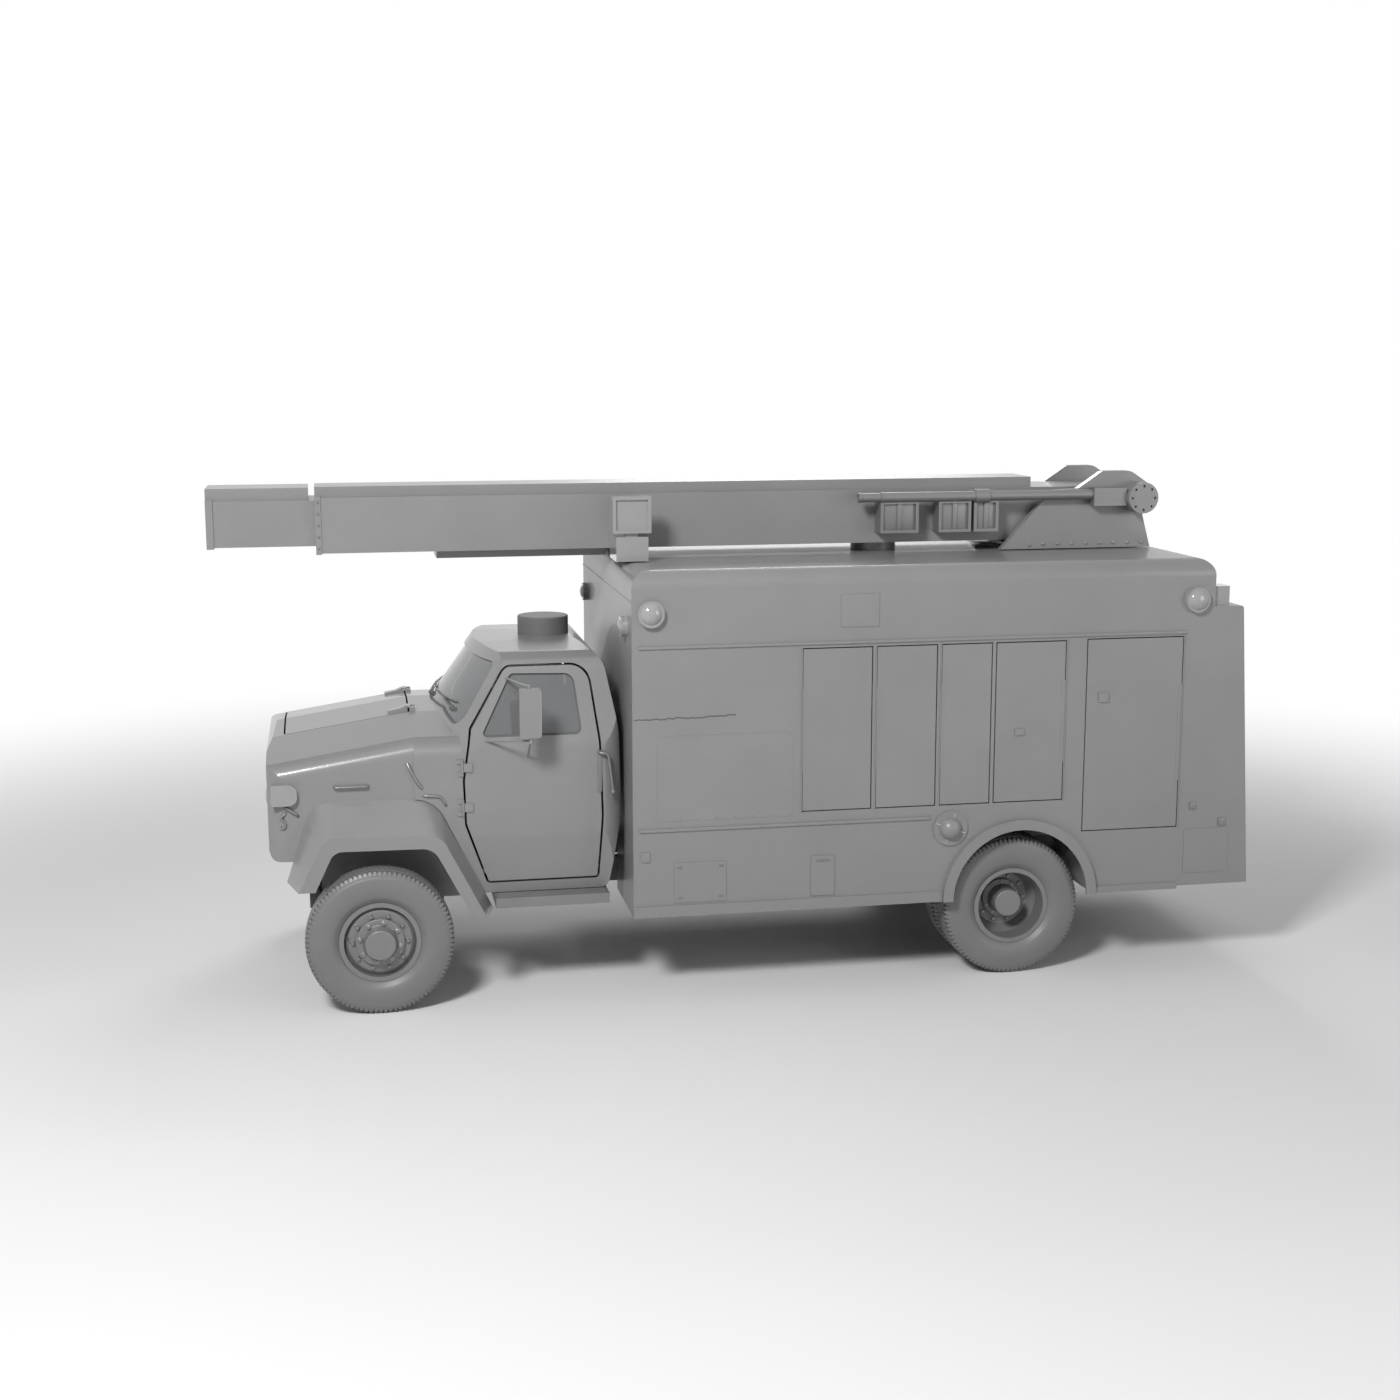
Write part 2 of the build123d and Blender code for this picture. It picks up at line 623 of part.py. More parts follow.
def cab_form(inset):
    """The cab as one solid, drawn in by the inset."""
    with BuildPart() as form:
        with BuildSketch(Plane.YZ.offset(aft(1800))):
            outline(front_section(CAB_SECTION + [CAB_ROOF_EDGE], CAB_ROOF_Z + 8))
            if inset:
                offset(amount=-inset, kind=Kind.INTERSECTION, mode=Mode.REPLACE)
        extrude(amount=1800)
        side_slab(
            reached(CAB_PROFILE), -CAB_HALF_WIDTH, CAB_HALF_WIDTH, inset=inset, mode=Mode.INTERSECT
        )
        rise = WINDSCREEN_TOP_Z - WINDSCREEN_BASE_Z
        lean = WINDSCREEN_TOP_REACH - WINDSCREEN_BASE_REACH
        foot_x = aft(WINDSCREEN_BASE_REACH) + (WINDSCREEN_BASE_Z - CAB_BOTTOM) * lean / rise - inset
        rear_x = aft(1800)
        with BuildSketch(Plane.XY.offset(CAB_BOTTOM)):
            with BuildLine():
                ThreePointArc(
                    (foot_x - WINDSCREEN_SWEEP, CAB_HALF_WIDTH),
                    (foot_x, 0),
                    (foot_x - WINDSCREEN_SWEEP, -CAB_HALF_WIDTH),
                )
                Polyline(
                    (foot_x - WINDSCREEN_SWEEP, -CAB_HALF_WIDTH),
                    (rear_x - 2000, -CAB_HALF_WIDTH),
                    (rear_x - 2000, CAB_HALF_WIDTH),
                    (foot_x - WINDSCREEN_SWEEP, CAB_HALF_WIDTH),
                )
            make_face()
        extrude(amount=2 * CAB_ROOF_Z, dir=(-lean / rise, 0, 1), mode=Mode.INTERSECT)
        with BuildSketch(Plane.XY):
            with Locations((aft(1712) + 1000 + inset, 0)):
                RectangleRounded(2000, 2 * (CAB_HALF_WIDTH - inset), CAB_CORNER_ROUNDING - inset)
        extrude(amount=2 * CAB_ROOF_Z, mode=Mode.INTERSECT)
    return form.part


def cowl_form(inset):
    """The cowl as one solid that runs on below the windscreen, drawn in by the inset."""
    with BuildPart() as form:
        with BuildSketch(Plane.YZ.offset(aft(COWL_REAR_REACH))):
            outline(front_section(COWL_SECTION, COWL_CROWN_Z))
            if inset:
                offset(amount=-inset, kind=Kind.INTERSECTION, mode=Mode.REPLACE)
        extrude(amount=COWL_REAR_REACH - COWL_REACH - inset)
    return form.part


cab_outer = cab_form(0)
cab_inner = cab_form(CAB_WALL)

# Door outline on the cab's side
# Columns: reach behind the front axle, height, rounding
CAB_DOOR = [
    (752, 815, 30),
    (1537, 815, 30),
    (1571, 1272, 200),
    (1556, 1800, 200),
    (1490, 2330, 150),
    (905, 2330, 90),
    (650, 1910, 60),
    (596, 1560, 200),
    (604, 1247, 100),
]
CAB_WINDOW = [(725, 1850, 30), (1430, 1850, 45), (1385, 2262, 80), (945, 2272, 40)]
DOOR_DEPTH_INNER_Y = 700
WINDSCREEN_OPENING = [(450, 1978, 0), (845, 1890, 70), (735, 2335, 60)]
REAR_WINDOW = [(450, 1880, 60), (420, 2180, 60)]

CAB_DOOR_GAP = 15  # wider than on the body, since the door leans in above its upright hinge line
CAB_PROFILE_REAR_REACH = 1800
CAB_TUNNEL_HALF_WIDTH = 450
CAB_FLOOR_REAR_REACH = 1610
CAB_FLOOR_HALF_WIDTH = 920
CAB_MOUNT_REACHES = (700, 1480)
CAB_MOUNT_LENGTH = 100
CAB_HINGE_REACH = 594
CAB_HINGE_Y = CAB_HALF_WIDTH + 12
CAB_HINGE_HEIGHTS = (1340, 1620)
CAB_HINGE_LENGTH = 60
CAB_FIXED_HINGE_LENGTH = 28
CAB_HINGE_RADIUS = 9
CAB_LEAF_LENGTH = 38
HOOD_HINGE_Y = (340, 410)
HOOD_HINGE_Z = 1985
HOOD_HINGE_RADIUS = 7
HOOD_FIXED_HINGE_WIDTH = 30

# Cab shell: pillars, roof, floor, cowl and back wall, with the doorways and windows cut
with BuildPart() as cowl_skin:
    add(cowl_form(0))
    add(cowl_form(NOSE_WALL), mode=Mode.SUBTRACT)
    add(cab_outer, mode=Mode.SUBTRACT)

with BuildPart() as cab_walls:
    add(cab_outer)
    add(cab_inner, mode=Mode.SUBTRACT)
    with BuildSketch(Plane.YZ.offset(aft(950))):
        outline(front_section(WINDSCREEN_OPENING, 2350))
    extrude(amount=700, mode=Mode.SUBTRACT)
    with BuildSketch(Plane.YZ.offset(aft(1800))):
        outline(front_section(REAR_WINDOW, 2185))
    extrude(amount=300, mode=Mode.SUBTRACT)
    add(cowl_skin.part)

with BuildPart() as cab_half:
    add(cab_walls.part)
    for side in (1, -1):
        low, high = sorted((side * DOOR_DEPTH_INNER_Y, side * (CAB_HALF_WIDTH + 20)))
        side_slab(reached(CAB_DOOR), low, high, mode=Mode.SUBTRACT)
    block(
        (aft(COWL_REACH - 10), aft(CAB_PROFILE_REAR_REACH)),
        (-CAB_TUNNEL_HALF_WIDTH, CAB_TUNNEL_HALF_WIDTH),
        (0, RAIL_TOP + 25),
        mode=Mode.SUBTRACT,
    )
    block(
        (aft(COWL_REACH + 30), aft(CAB_FLOOR_REAR_REACH)),
        (-CAB_FLOOR_HALF_WIDTH, CAB_FLOOR_HALF_WIDTH),
        (CAB_FLOOR_TOP - CAB_FLOOR, CAB_FLOOR_TOP),
    )
    for side in (1, -1):
        for reach in CAB_MOUNT_REACHES:
            block(
                (aft(reach), aft(reach + CAB_MOUNT_LENGTH)),
                (side * (RAIL_HALF_SPREAD - RAIL_FLANGE), side * RAIL_HALF_SPREAD),
                (RAIL_TOP, CAB_FLOOR_TOP - CAB_FLOOR),
            )
        low, high = sorted((side * APRON_INNER_Y, side * (CAB_HALF_WIDTH + 20)))
        side_slab(reached(FENDER_ARCH), low, high, inset=-APRON_THICKNESS, mode=Mode.SUBTRACT)
        low, high = sorted((side * NOSE_HALF_WIDTH, side * (CAB_HALF_WIDTH + 20)))
        side_slab(reached(FENDER_SEAM), low, high, mode=Mode.SUBTRACT)
        for low_z in CAB_HINGE_HEIGHTS:
            for z_start, z_end in (
                (low_z - CAB_FIXED_HINGE_LENGTH, low_z - SEAT_GAP),
                (low_z + CAB_HINGE_LENGTH + SEAT_GAP, low_z + CAB_HINGE_LENGTH + CAB_FIXED_HINGE_LENGTH),
            ):
                rod(
                    (aft(CAB_HINGE_REACH), side * CAB_HINGE_Y, z_start),
                    (aft(CAB_HINGE_REACH), side * CAB_HINGE_Y, z_end),
                    CAB_HINGE_RADIUS,
                )
                block(
                    (aft(CAB_HINGE_REACH - CAB_LEAF_LENGTH), aft(CAB_HINGE_REACH)),
                    (side * (CAB_HALF_WIDTH - 10), side * CAB_HINGE_Y),
                    (z_start, z_end),
                )
        for low_y, high_y in (
            (HOOD_HINGE_Y[0] - HOOD_FIXED_HINGE_WIDTH, HOOD_HINGE_Y[0] - SEAT_GAP),
            (HOOD_HINGE_Y[1] + SEAT_GAP, HOOD_HINGE_Y[1] + HOOD_FIXED_HINGE_WIDTH),
        ):
            rod(
                (aft(COWL_REACH), side * low_y, HOOD_HINGE_Z),
                (aft(COWL_REACH), side * high_y, HOOD_HINGE_Z),
                HOOD_HINGE_RADIUS,
            )
            block(
                (aft(COWL_REACH), aft(COWL_REACH + 40)),
                (side * low_y, side * high_y),
                (HOOD_HINGE_Z - 45, HOOD_HINGE_Z),
            )
    block((aft(TAIL_REACH), fore(NOSE_REACH)), (-2 * CAB_HALF_WIDTH, 0), (0, ROOF_Z), mode=Mode.SUBTRACT)

with BuildPart() as cab_shell:
    add(cab_half.part)
    mirror(cab_half.part, about=Plane.XZ)
write(cab_shell, "cab_shell")

# Cab doors: the shell's own wall inside the doorway, its mirror and its hinge pins
MIRROR_Y = 1250
MIRROR_THICKNESS = 42
MIRROR_OUTLINE = [(970, 1890, 16), (1115, 1890, 16), (1115, 2230, 16), (970, 2230, 16)]
MIRROR_ARM_RADIUS = 8
# Columns: the arm's foot on the door, then its end at the mirror, each as reach, Y, height
MIRROR_ARMS = [
    ((912, 848, 2240), (1040, MIRROR_Y, 2240)),
    ((1047, 985, 1700), (1047, MIRROR_Y, 1880)),
    ((735, 968, 1825), (1047, MIRROR_Y, 1870)),
]
# Columns: reach, bottom, top
MIRROR_SOCKETS = [(1040, 2210, 2256), (1047, 1850, 1905)]
MIRROR_SOCKET_RADIUS = 13

with BuildPart() as cab_door_left:
    add(cab_walls.part)
    side_slab(
        reached(CAB_DOOR), DOOR_DEPTH_INNER_Y, CAB_HALF_WIDTH + 20, inset=CAB_DOOR_GAP, mode=Mode.INTERSECT
    )
    side_slab(reached(CAB_WINDOW), DOOR_DEPTH_INNER_Y, CAB_HALF_WIDTH + 20, mode=Mode.SUBTRACT)
    for low in CAB_HINGE_HEIGHTS:
        rod(
            (aft(CAB_HINGE_REACH), CAB_HINGE_Y, low),
            (aft(CAB_HINGE_REACH), CAB_HINGE_Y, low + CAB_HINGE_LENGTH),
            CAB_HINGE_RADIUS,
        )
        block(
            (aft(CAB_HINGE_REACH), aft(CAB_HINGE_REACH + 70)),
            (CAB_HALF_WIDTH + 3, CAB_HINGE_Y),
            (low, low + CAB_HINGE_LENGTH),
        )
        block(
            (aft(CAB_HINGE_REACH + 32), aft(CAB_HINGE_REACH + 70)),
            (CAB_HALF_WIDTH - 15, CAB_HINGE_Y),
            (low, low + CAB_HINGE_LENGTH),
        )
    side_slab(reached(MIRROR_OUTLINE), MIRROR_Y - MIRROR_THICKNESS / 2, MIRROR_Y + MIRROR_THICKNESS / 2)
    for (foot, foot_y, foot_z), (end, end_y, end_z) in MIRROR_ARMS:
        rod((aft(foot), foot_y, foot_z), (aft(end), end_y, end_z), MIRROR_ARM_RADIUS)
    for reach, low, high in MIRROR_SOCKETS:
        rod((aft(reach), MIRROR_Y, low), (aft(reach), MIRROR_Y, high), MIRROR_SOCKET_RADIUS)
write(cab_door_left, "cab_door_left")
write_mirrored(cab_door_left, "cab_door_right")

# Glass: thin panes that follow the cab's own curves
GLASS_INSET = CAB_WALL / 2
glass_outer = cab_form(GLASS_INSET)
glass_inner = cab_form(GLASS_INSET + GLASS_THICKNESS)

with BuildPart() as door_glass_left:
    add(glass_outer)
    add(glass_inner, mode=Mode.SUBTRACT)
    side_slab(reached(CAB_WINDOW), DOOR_DEPTH_INNER_Y, CAB_HALF_WIDTH, mode=Mode.INTERSECT)
write(door_glass_left, "door_glass_left")
write_mirrored(door_glass_left, "door_glass_right")

with BuildPart() as cab_glass:
    add(glass_outer)
    add(glass_inner, mode=Mode.SUBTRACT)
    with BuildSketch(Plane.YZ.offset(aft(950))) as front_pane:
        outline(front_section(WINDSCREEN_OPENING, 2350))
    with BuildSketch(Plane.YZ.offset(aft(1800))) as rear_pane:
        outline(front_section(REAR_WINDOW, 2185))
    front_prism = extrude(front_pane.sketch, amount=700, mode=Mode.PRIVATE)
    rear_prism = extrude(rear_pane.sketch, amount=300, mode=Mode.PRIVATE)
    add(front_prism + rear_prism, mode=Mode.INTERSECT)
write(cab_glass, "cab_glass")

# Roof base, running boards, seat and dashboard
BOARD_OUTLINE = [(800, 668, 0), (1590, 668, 0), (1590, 740, 0), (800, 740, 0)]
BOARD_OUTER_Y = 1105

with BuildPart() as roof_base:
    with BuildSketch(Plane.XY.offset(CAB_ROOF_Z - 60)):
        with Locations((aft(ROOF_BASE_REACH), 0)):
            Circle(ROOF_BASE_RADIUS)
    extrude(amount=ROOF_BASE_TOP - CAB_ROOF_Z + 60)
    add(cab_outer, mode=Mode.SUBTRACT)
    fillet(roof_base.edges().group_by(Axis.Z)[-1], 10)
write(roof_base, "roof_base")

with BuildPart() as running_boards:
    for side in (1, -1):
        low, high = sorted((side * RAIL_HALF_SPREAD, side * BOARD_OUTER_Y))
        side_slab(reached(BOARD_OUTLINE), low, high)
write(running_boards, "running_boards")

SEAT_PROFILE = [
    (1050, CAB_FLOOR_TOP, 0),
    (1540, CAB_FLOOR_TOP, 0),
    (1600, 1900, 30),
    (1510, 1900, 30),
    (1450, 1380, 60),
    (1020, 1400, 60),
]
with BuildPart() as bench_seat:
    side_slab(reached(SEAT_PROFILE), -820, 820)
write(bench_seat, "bench_seat")

DASH_FRONT_REACH = COWL_REACH + CAB_WALL
DASH_PROFILE = [(DASH_FRONT_REACH, 1500, 0), (700, 1500, 40), (690, 1790, 60), (DASH_FRONT_REACH, 1850, 0)]
STEERING_Y = 430
STEERING_CENTRE = (aft(960), STEERING_Y, 1740)
STEERING_RADIUS = 225
STEERING_RIM_RADIUS = 14

with BuildPart() as dashboard:
    side_slab(reached(DASH_PROFILE), -880, 880)
    add(cab_inner, mode=Mode.INTERSECT)
    column_foot = Vector(aft(640), STEERING_Y, 1560)
    column = Vector(*STEERING_CENTRE) - column_foot
    rod(tuple(column_foot), STEERING_CENTRE, 26)
    wheel_plane = Plane(origin=STEERING_CENTRE, x_dir=(0, 1, 0), z_dir=column)
    with Locations(wheel_plane.location):
        Torus(STEERING_RADIUS, STEERING_RIM_RADIUS)
        Box(2 * STEERING_RADIUS, 26, 12)
        Cylinder(48, 30)
write(dashboard, "dashboard")

# Front clip: the nose's hollow skin with its grille opening and the hood's opening
nose_outer = nose_form(0)
nose_inner = nose_form(NOSE_WALL)
GRILLE_HALF_WIDTH = 640
GRILLE_BOTTOM = 1180
GRILLE_TOP = 1640
GRILLE_MIDDLE = (GRILLE_BOTTOM + GRILLE_TOP) / 2
GRILLE_CORNER = 30
HOOD_FRONT_REACH = 610
HOOD_GAP = 12  # wider than a door's, since the front edge moves forward as it lifts
HOOD_PLAN = [
    (aft(COWL_REACH), -HOOD_HALF_WIDTH, 0),
    (fore(HOOD_FRONT_REACH), -HOOD_HALF_WIDTH, 40),
    (fore(HOOD_FRONT_REACH), HOOD_HALF_WIDTH, 40),
    (aft(COWL_REACH), HOOD_HALF_WIDTH, 0),
]
# Columns: reach behind the front axle, height, rounding
HOOD_LEAF = [
    (116, 1926, 0),
    (254, 1946, 0),
    (254, HOOD_HINGE_Z - 9, 0),
    (COWL_REACH, HOOD_HINGE_Z - 7, 0),
    (COWL_REACH, HOOD_HINGE_Z + 7, 0),
    (244, HOOD_HINGE_Z + 7, 8),
    (200, 1972, 0),
    (116, 1956, 0),
]
nose_rear_cut = Pos(-2 * NOSE_WALL, 0, 0) * nose_inner

with BuildPart() as front_clip:
    add(nose_outer)
    add(nose_inner, mode=Mode.SUBTRACT)
    add(nose_rear_cut, mode=Mode.SUBTRACT)
    block(
        (aft(COWL_REACH) - 5, fore(600)),
        (-(NOSE_HALF_WIDTH - NOSE_WALL), NOSE_HALF_WIDTH - NOSE_WALL),
        (0, NOSE_BOTTOM + 40),
        mode=Mode.SUBTRACT,
    )
    with BuildSketch(Plane.YZ.offset(fore(600))):
        with Locations((0, GRILLE_MIDDLE)):
            RectangleRounded(2 * GRILLE_HALF_WIDTH, GRILLE_TOP - GRILLE_BOTTOM, GRILLE_CORNER)
    extrude(amount=200, mode=Mode.SUBTRACT)
    for side in (1, -1):
        low, high = sorted((side * APRON_INNER_Y, side * (NOSE_HALF_WIDTH + 20)))
        side_slab(reached(FENDER_ARCH), low, high, inset=-APRON_THICKNESS, mode=Mode.SUBTRACT)
    with BuildSketch(Plane.XY.offset(1700)):
        outline(HOOD_PLAN)
    extrude(amount=500, mode=Mode.SUBTRACT)
write(front_clip, "front_clip")

with BuildPart() as hood:
    add(nose_outer)
    add(nose_inner, mode=Mode.SUBTRACT)
    add(nose_rear_cut, mode=Mode.SUBTRACT)
    with BuildSketch(Plane.XY.offset(1700)):
        outline(HOOD_PLAN)
        offset(amount=-HOOD_GAP, kind=Kind.INTERSECTION, mode=Mode.REPLACE)
    extrude(amount=500, mode=Mode.INTERSECT)
    for side in (1, -1):
        low, high = sorted((side * HOOD_HINGE_Y[0], side * HOOD_HINGE_Y[1]))
        side_slab(reached(HOOD_LEAF), low, high)
        rod(
            (aft(COWL_REACH), low, HOOD_HINGE_Z),
            (aft(COWL_REACH), high, HOOD_HINGE_Z),
            HOOD_HINGE_RADIUS,
        )
write(hood, "hood")

# Grille: a frame of level bars with a round lamp at each end
GRILLE_X = fore(NOSE_REACH - 8)
GRILLE_DEPTH = 22
GRILLE_BARS = 7
GRILLE_FRAME = 30
GRILLE_BAR_HEIGHT = 22
HEADLAMP_Y = 520
HEADLAMP_RADIUS = 95
HEADLAMP_BEZEL = 22
HEADLAMP_Z = 1420

with BuildPart() as grille:
    with BuildSketch(Plane.YZ.offset(GRILLE_X - GRILLE_DEPTH)):
        with Locations((0, GRILLE_MIDDLE)):
            RectangleRounded(2 * GRILLE_HALF_WIDTH, GRILLE_TOP - GRILLE_BOTTOM, GRILLE_CORNER)
            Rectangle(
                2 * (GRILLE_HALF_WIDTH - GRILLE_FRAME),
                GRILLE_TOP - GRILLE_BOTTOM - 2 * GRILLE_FRAME,
                mode=Mode.SUBTRACT,
            )
        for bar in range(GRILLE_BARS):
            height = GRILLE_BOTTOM + (bar + 1) * (GRILLE_TOP - GRILLE_BOTTOM) / (GRILLE_BARS + 1)
            with Locations((0, height)):
                Rectangle(2 * GRILLE_HALF_WIDTH - GRILLE_FRAME, GRILLE_BAR_HEIGHT)
        for side in (1, -1):
            with Locations((side * HEADLAMP_Y, HEADLAMP_Z)):
                Circle(HEADLAMP_RADIUS + HEADLAMP_BEZEL)
                Circle(HEADLAMP_RADIUS, mode=Mode.SUBTRACT)
    extrude(amount=GRILLE_DEPTH)
write(grille, "grille")

# Service body sides: a thick skin with five doorways, rails, plates and the rear arch flare
# Columns: name, front reach, rear reach, bottom, top, edge that carries the hinge
BODY_DOORS = [
    ("locker_door_1", 2910, 3439, 1280, 2460, "front"),
    ("locker_door_2", 3439, 3907, 1280, 2460, "front"),
    ("locker_door_3", 3907, 4308, 1280, 2460, "front"),
    ("locker_door_4", 4308, 4855, 1280, 2460, "rear"),
    ("rear_side_door", 4982, 5738, 1040, 2465, "rear"),
]
POST_HALF_WIDTH = 12
# Columns: front reach, rear reach, bottom, top, how proud
SIDE_RAILS = [
    (1780, TAIL_SEAM_REACH, CAP_BOTTOM - 18, CAP_BOTTOM, 12),
    (1780, 3860, 1198, 1218, 12),
    (BODY_FRONT_REACH, 3960, SILL_Z, 668, 10),
    (5112, TAIL_SEAM_REACH, SILL_Z, 640, 10),
]
SIDE_PLATES = [
    (1909, 2860, 1269, 1867, 3),
    (2023, 2387, 687, 972, 6),
    (2995, 3164, 687, 972, 8),
    (1789, 1851, 988, 1055, 9),
]
FILLER_REACH = 4009
FILLER_Z = 1125
FILLER_RING_RADIUS = 125
FILLER_CAP_RADIUS = 82


def doorway(front, rear, bottom, top, drawn_in):
    """A doorway's corners in side view, drawn in from the posts on every edge."""
    return [
        (aft(front + drawn_in), bottom + drawn_in, 0),
        (aft(rear - drawn_in), bottom + drawn_in, 0),
        (aft(rear - drawn_in), top - drawn_in, 0),
        (aft(front + drawn_in), top - drawn_in, 0),
    ]


def hinge_post_x(front, rear, hinge):
    """X of a body door's hinge pin, at the post's edge, and the way from it into the doorway."""
    if hinge == "front":
        return aft(front + POST_HALF_WIDTH), -1
    return aft(rear - POST_HALF_WIDTH), 1


with BuildPart() as body_side_left:
    block(
        (aft(BODY_FRONT_REACH), aft(TAIL_SEAM_REACH)),
        (BODY_HALF_WIDTH - BODY_WALL, BODY_HALF_WIDTH),
        (SILL_Z, CAP_BOTTOM),
    )
    for front, rear, bottom, top, proud in SIDE_RAILS + SIDE_PLATES:
        block(
            (aft(front), aft(rear)),
            (BODY_HALF_WIDTH - BODY_WALL, BODY_HALF_WIDTH + proud),
            (bottom, top),
        )
    with BuildSketch(Plane.XZ.offset(-(BODY_HALF_WIDTH - BODY_WALL))):
        with Locations((aft(ARCH_REACH), SILL_Z)):
            Circle(ARCH_OUTER_RADIUS)
        with Locations((aft(ARCH_REACH), SILL_Z - ARCH_OUTER_RADIUS)):
            Rectangle(2 * ARCH_OUTER_RADIUS, 2 * ARCH_OUTER_RADIUS, mode=Mode.SUBTRACT)
    extrude(amount=-(BODY_WALL + ARCH_PROUD))
    with BuildSketch(Plane.XZ.offset(-(BODY_HALF_WIDTH - BODY_WALL))):
        with Locations((aft(FILLER_REACH), FILLER_Z)):
            Circle(FILLER_RING_RADIUS)
    extrude(amount=-(BODY_WALL + 14))
    with Locations((aft(FILLER_REACH), BODY_HALF_WIDTH, FILLER_Z)):
        Sphere(FILLER_CAP_RADIUS)
    block(
        (aft(FILLER_REACH) - 2 * FILLER_CAP_RADIUS, aft(FILLER_REACH) + 2 * FILLER_CAP_RADIUS),
        (BODY_HALF_WIDTH - 2 * FILLER_CAP_RADIUS, BODY_HALF_WIDTH - BODY_WALL),
        (FILLER_Z - 2 * FILLER_CAP_RADIUS, FILLER_Z + 2 * FILLER_CAP_RADIUS),
        mode=Mode.SUBTRACT,
    )
    for radius, low, high in (
        (ARCH_CUT_RADIUS, BODY_HALF_WIDTH - BODY_WALL - 1, BODY_HALF_WIDTH + 10),
        (ARCH_INNER_RADIUS, BODY_HALF_WIDTH - BODY_WALL - 1, BODY_HALF_WIDTH + ARCH_PROUD + 1),
    ):
        rod((aft(ARCH_REACH), low, SILL_Z), (aft(ARCH_REACH), high, SILL_Z), radius, mode=Mode.SUBTRACT)
    for name, front, rear, bottom, top, hinge in BODY_DOORS:
        side_slab(
            doorway(front, rear, bottom, top, POST_HALF_WIDTH),
            BODY_HALF_WIDTH - BODY_WALL - 1,
            BODY_HALF_WIDTH + 20,
            mode=Mode.SUBTRACT,
        )
        pin_x, way = hinge_post_x(front, rear, hinge)
        quarter = (top - bottom) / 4
        for low in (bottom + POST_HALF_WIDTH, top - quarter):
            rod(
                (pin_x, BODY_HALF_WIDTH + HINGE_OFFSET, low),
                (pin_x, BODY_HALF_WIDTH + HINGE_OFFSET, low + quarter - POST_HALF_WIDTH),
                HINGE_RADIUS,
            )
            block(
                (pin_x - way * LEAF_WIDTH, pin_x),
                (BODY_HALF_WIDTH, BODY_HALF_WIDTH + LEAF_PLATE),
                (low, low + quarter - POST_HALF_WIDTH),
            )
write(body_side_left, "body_side_left")
write_mirrored(body_side_left, "body_side_right")

# Body doors, each with a long hinge knuckle between the two on its post
# Columns: front reach, rear reach, bottom, top of a latch plate
LATCHES = {"locker_door_4": (4470, 4540, 1778, 1822), "rear_side_door": (5090, 5165, 1995, 2065)}
LATCH_PROUD = 10

for name, front, rear, bottom, top, hinge in BODY_DOORS:
    pin_x, way = hinge_post_x(front, rear, hinge)
    quarter = (top - bottom) / 4
    with BuildPart() as body_door:
        side_slab(
            doorway(front, rear, bottom, top, POST_HALF_WIDTH + DOOR_GAP),
            BODY_HALF_WIDTH - DOOR_THICKNESS,
            BODY_HALF_WIDTH,
        )
        low = bottom + quarter + SEAT_GAP
        high = top - quarter - SEAT_GAP
        rod(
            (pin_x, BODY_HALF_WIDTH + HINGE_OFFSET, low),
            (pin_x, BODY_HALF_WIDTH + HINGE_OFFSET, high),
            HINGE_RADIUS,
        )
        block(
            (pin_x + way * 1, pin_x + way * (LEAF_WIDTH + DOOR_GAP)),
            (BODY_HALF_WIDTH, BODY_HALF_WIDTH + LEAF_PLATE),
            (low, high),
        )
        if name in LATCHES:
            latch_front, latch_rear, latch_low, latch_high = LATCHES[name]
            block(
                (aft(latch_front), aft(latch_rear)),
                (BODY_HALF_WIDTH - 2, BODY_HALF_WIDTH + LATCH_PROUD),
                (latch_low, latch_high),
            )
    write(body_door, f"{name}_left")
    write_mirrored(body_door, f"{name}_right")

# Body front wall, notched over the rails
with BuildPart() as body_front:
    block(
        (aft(BODY_FRONT_REACH), aft(BODY_FRONT_REACH + BODY_WALL)),
        (-(BODY_HALF_WIDTH - BODY_WALL), BODY_HALF_WIDTH - BODY_WALL),
        (SILL_Z, CAP_BOTTOM),
    )
    block(
        (aft(BODY_FRONT_REACH - 10), aft(BODY_FRONT_REACH + BODY_WALL + 10)),
        (-(RAIL_HALF_SPREAD + 40), RAIL_HALF_SPREAD + 40),
        (0, FLOOR_BOTTOM),
        mode=Mode.SUBTRACT,
    )
write(body_front, "body_front")

# Roof cap: a shell with rounded top edges, sharp front corners and a seam across its front
ROOF_PLATE = (3195, 3465, 2587, 2813, 6)
FRONT_SEAM_Z = 2786

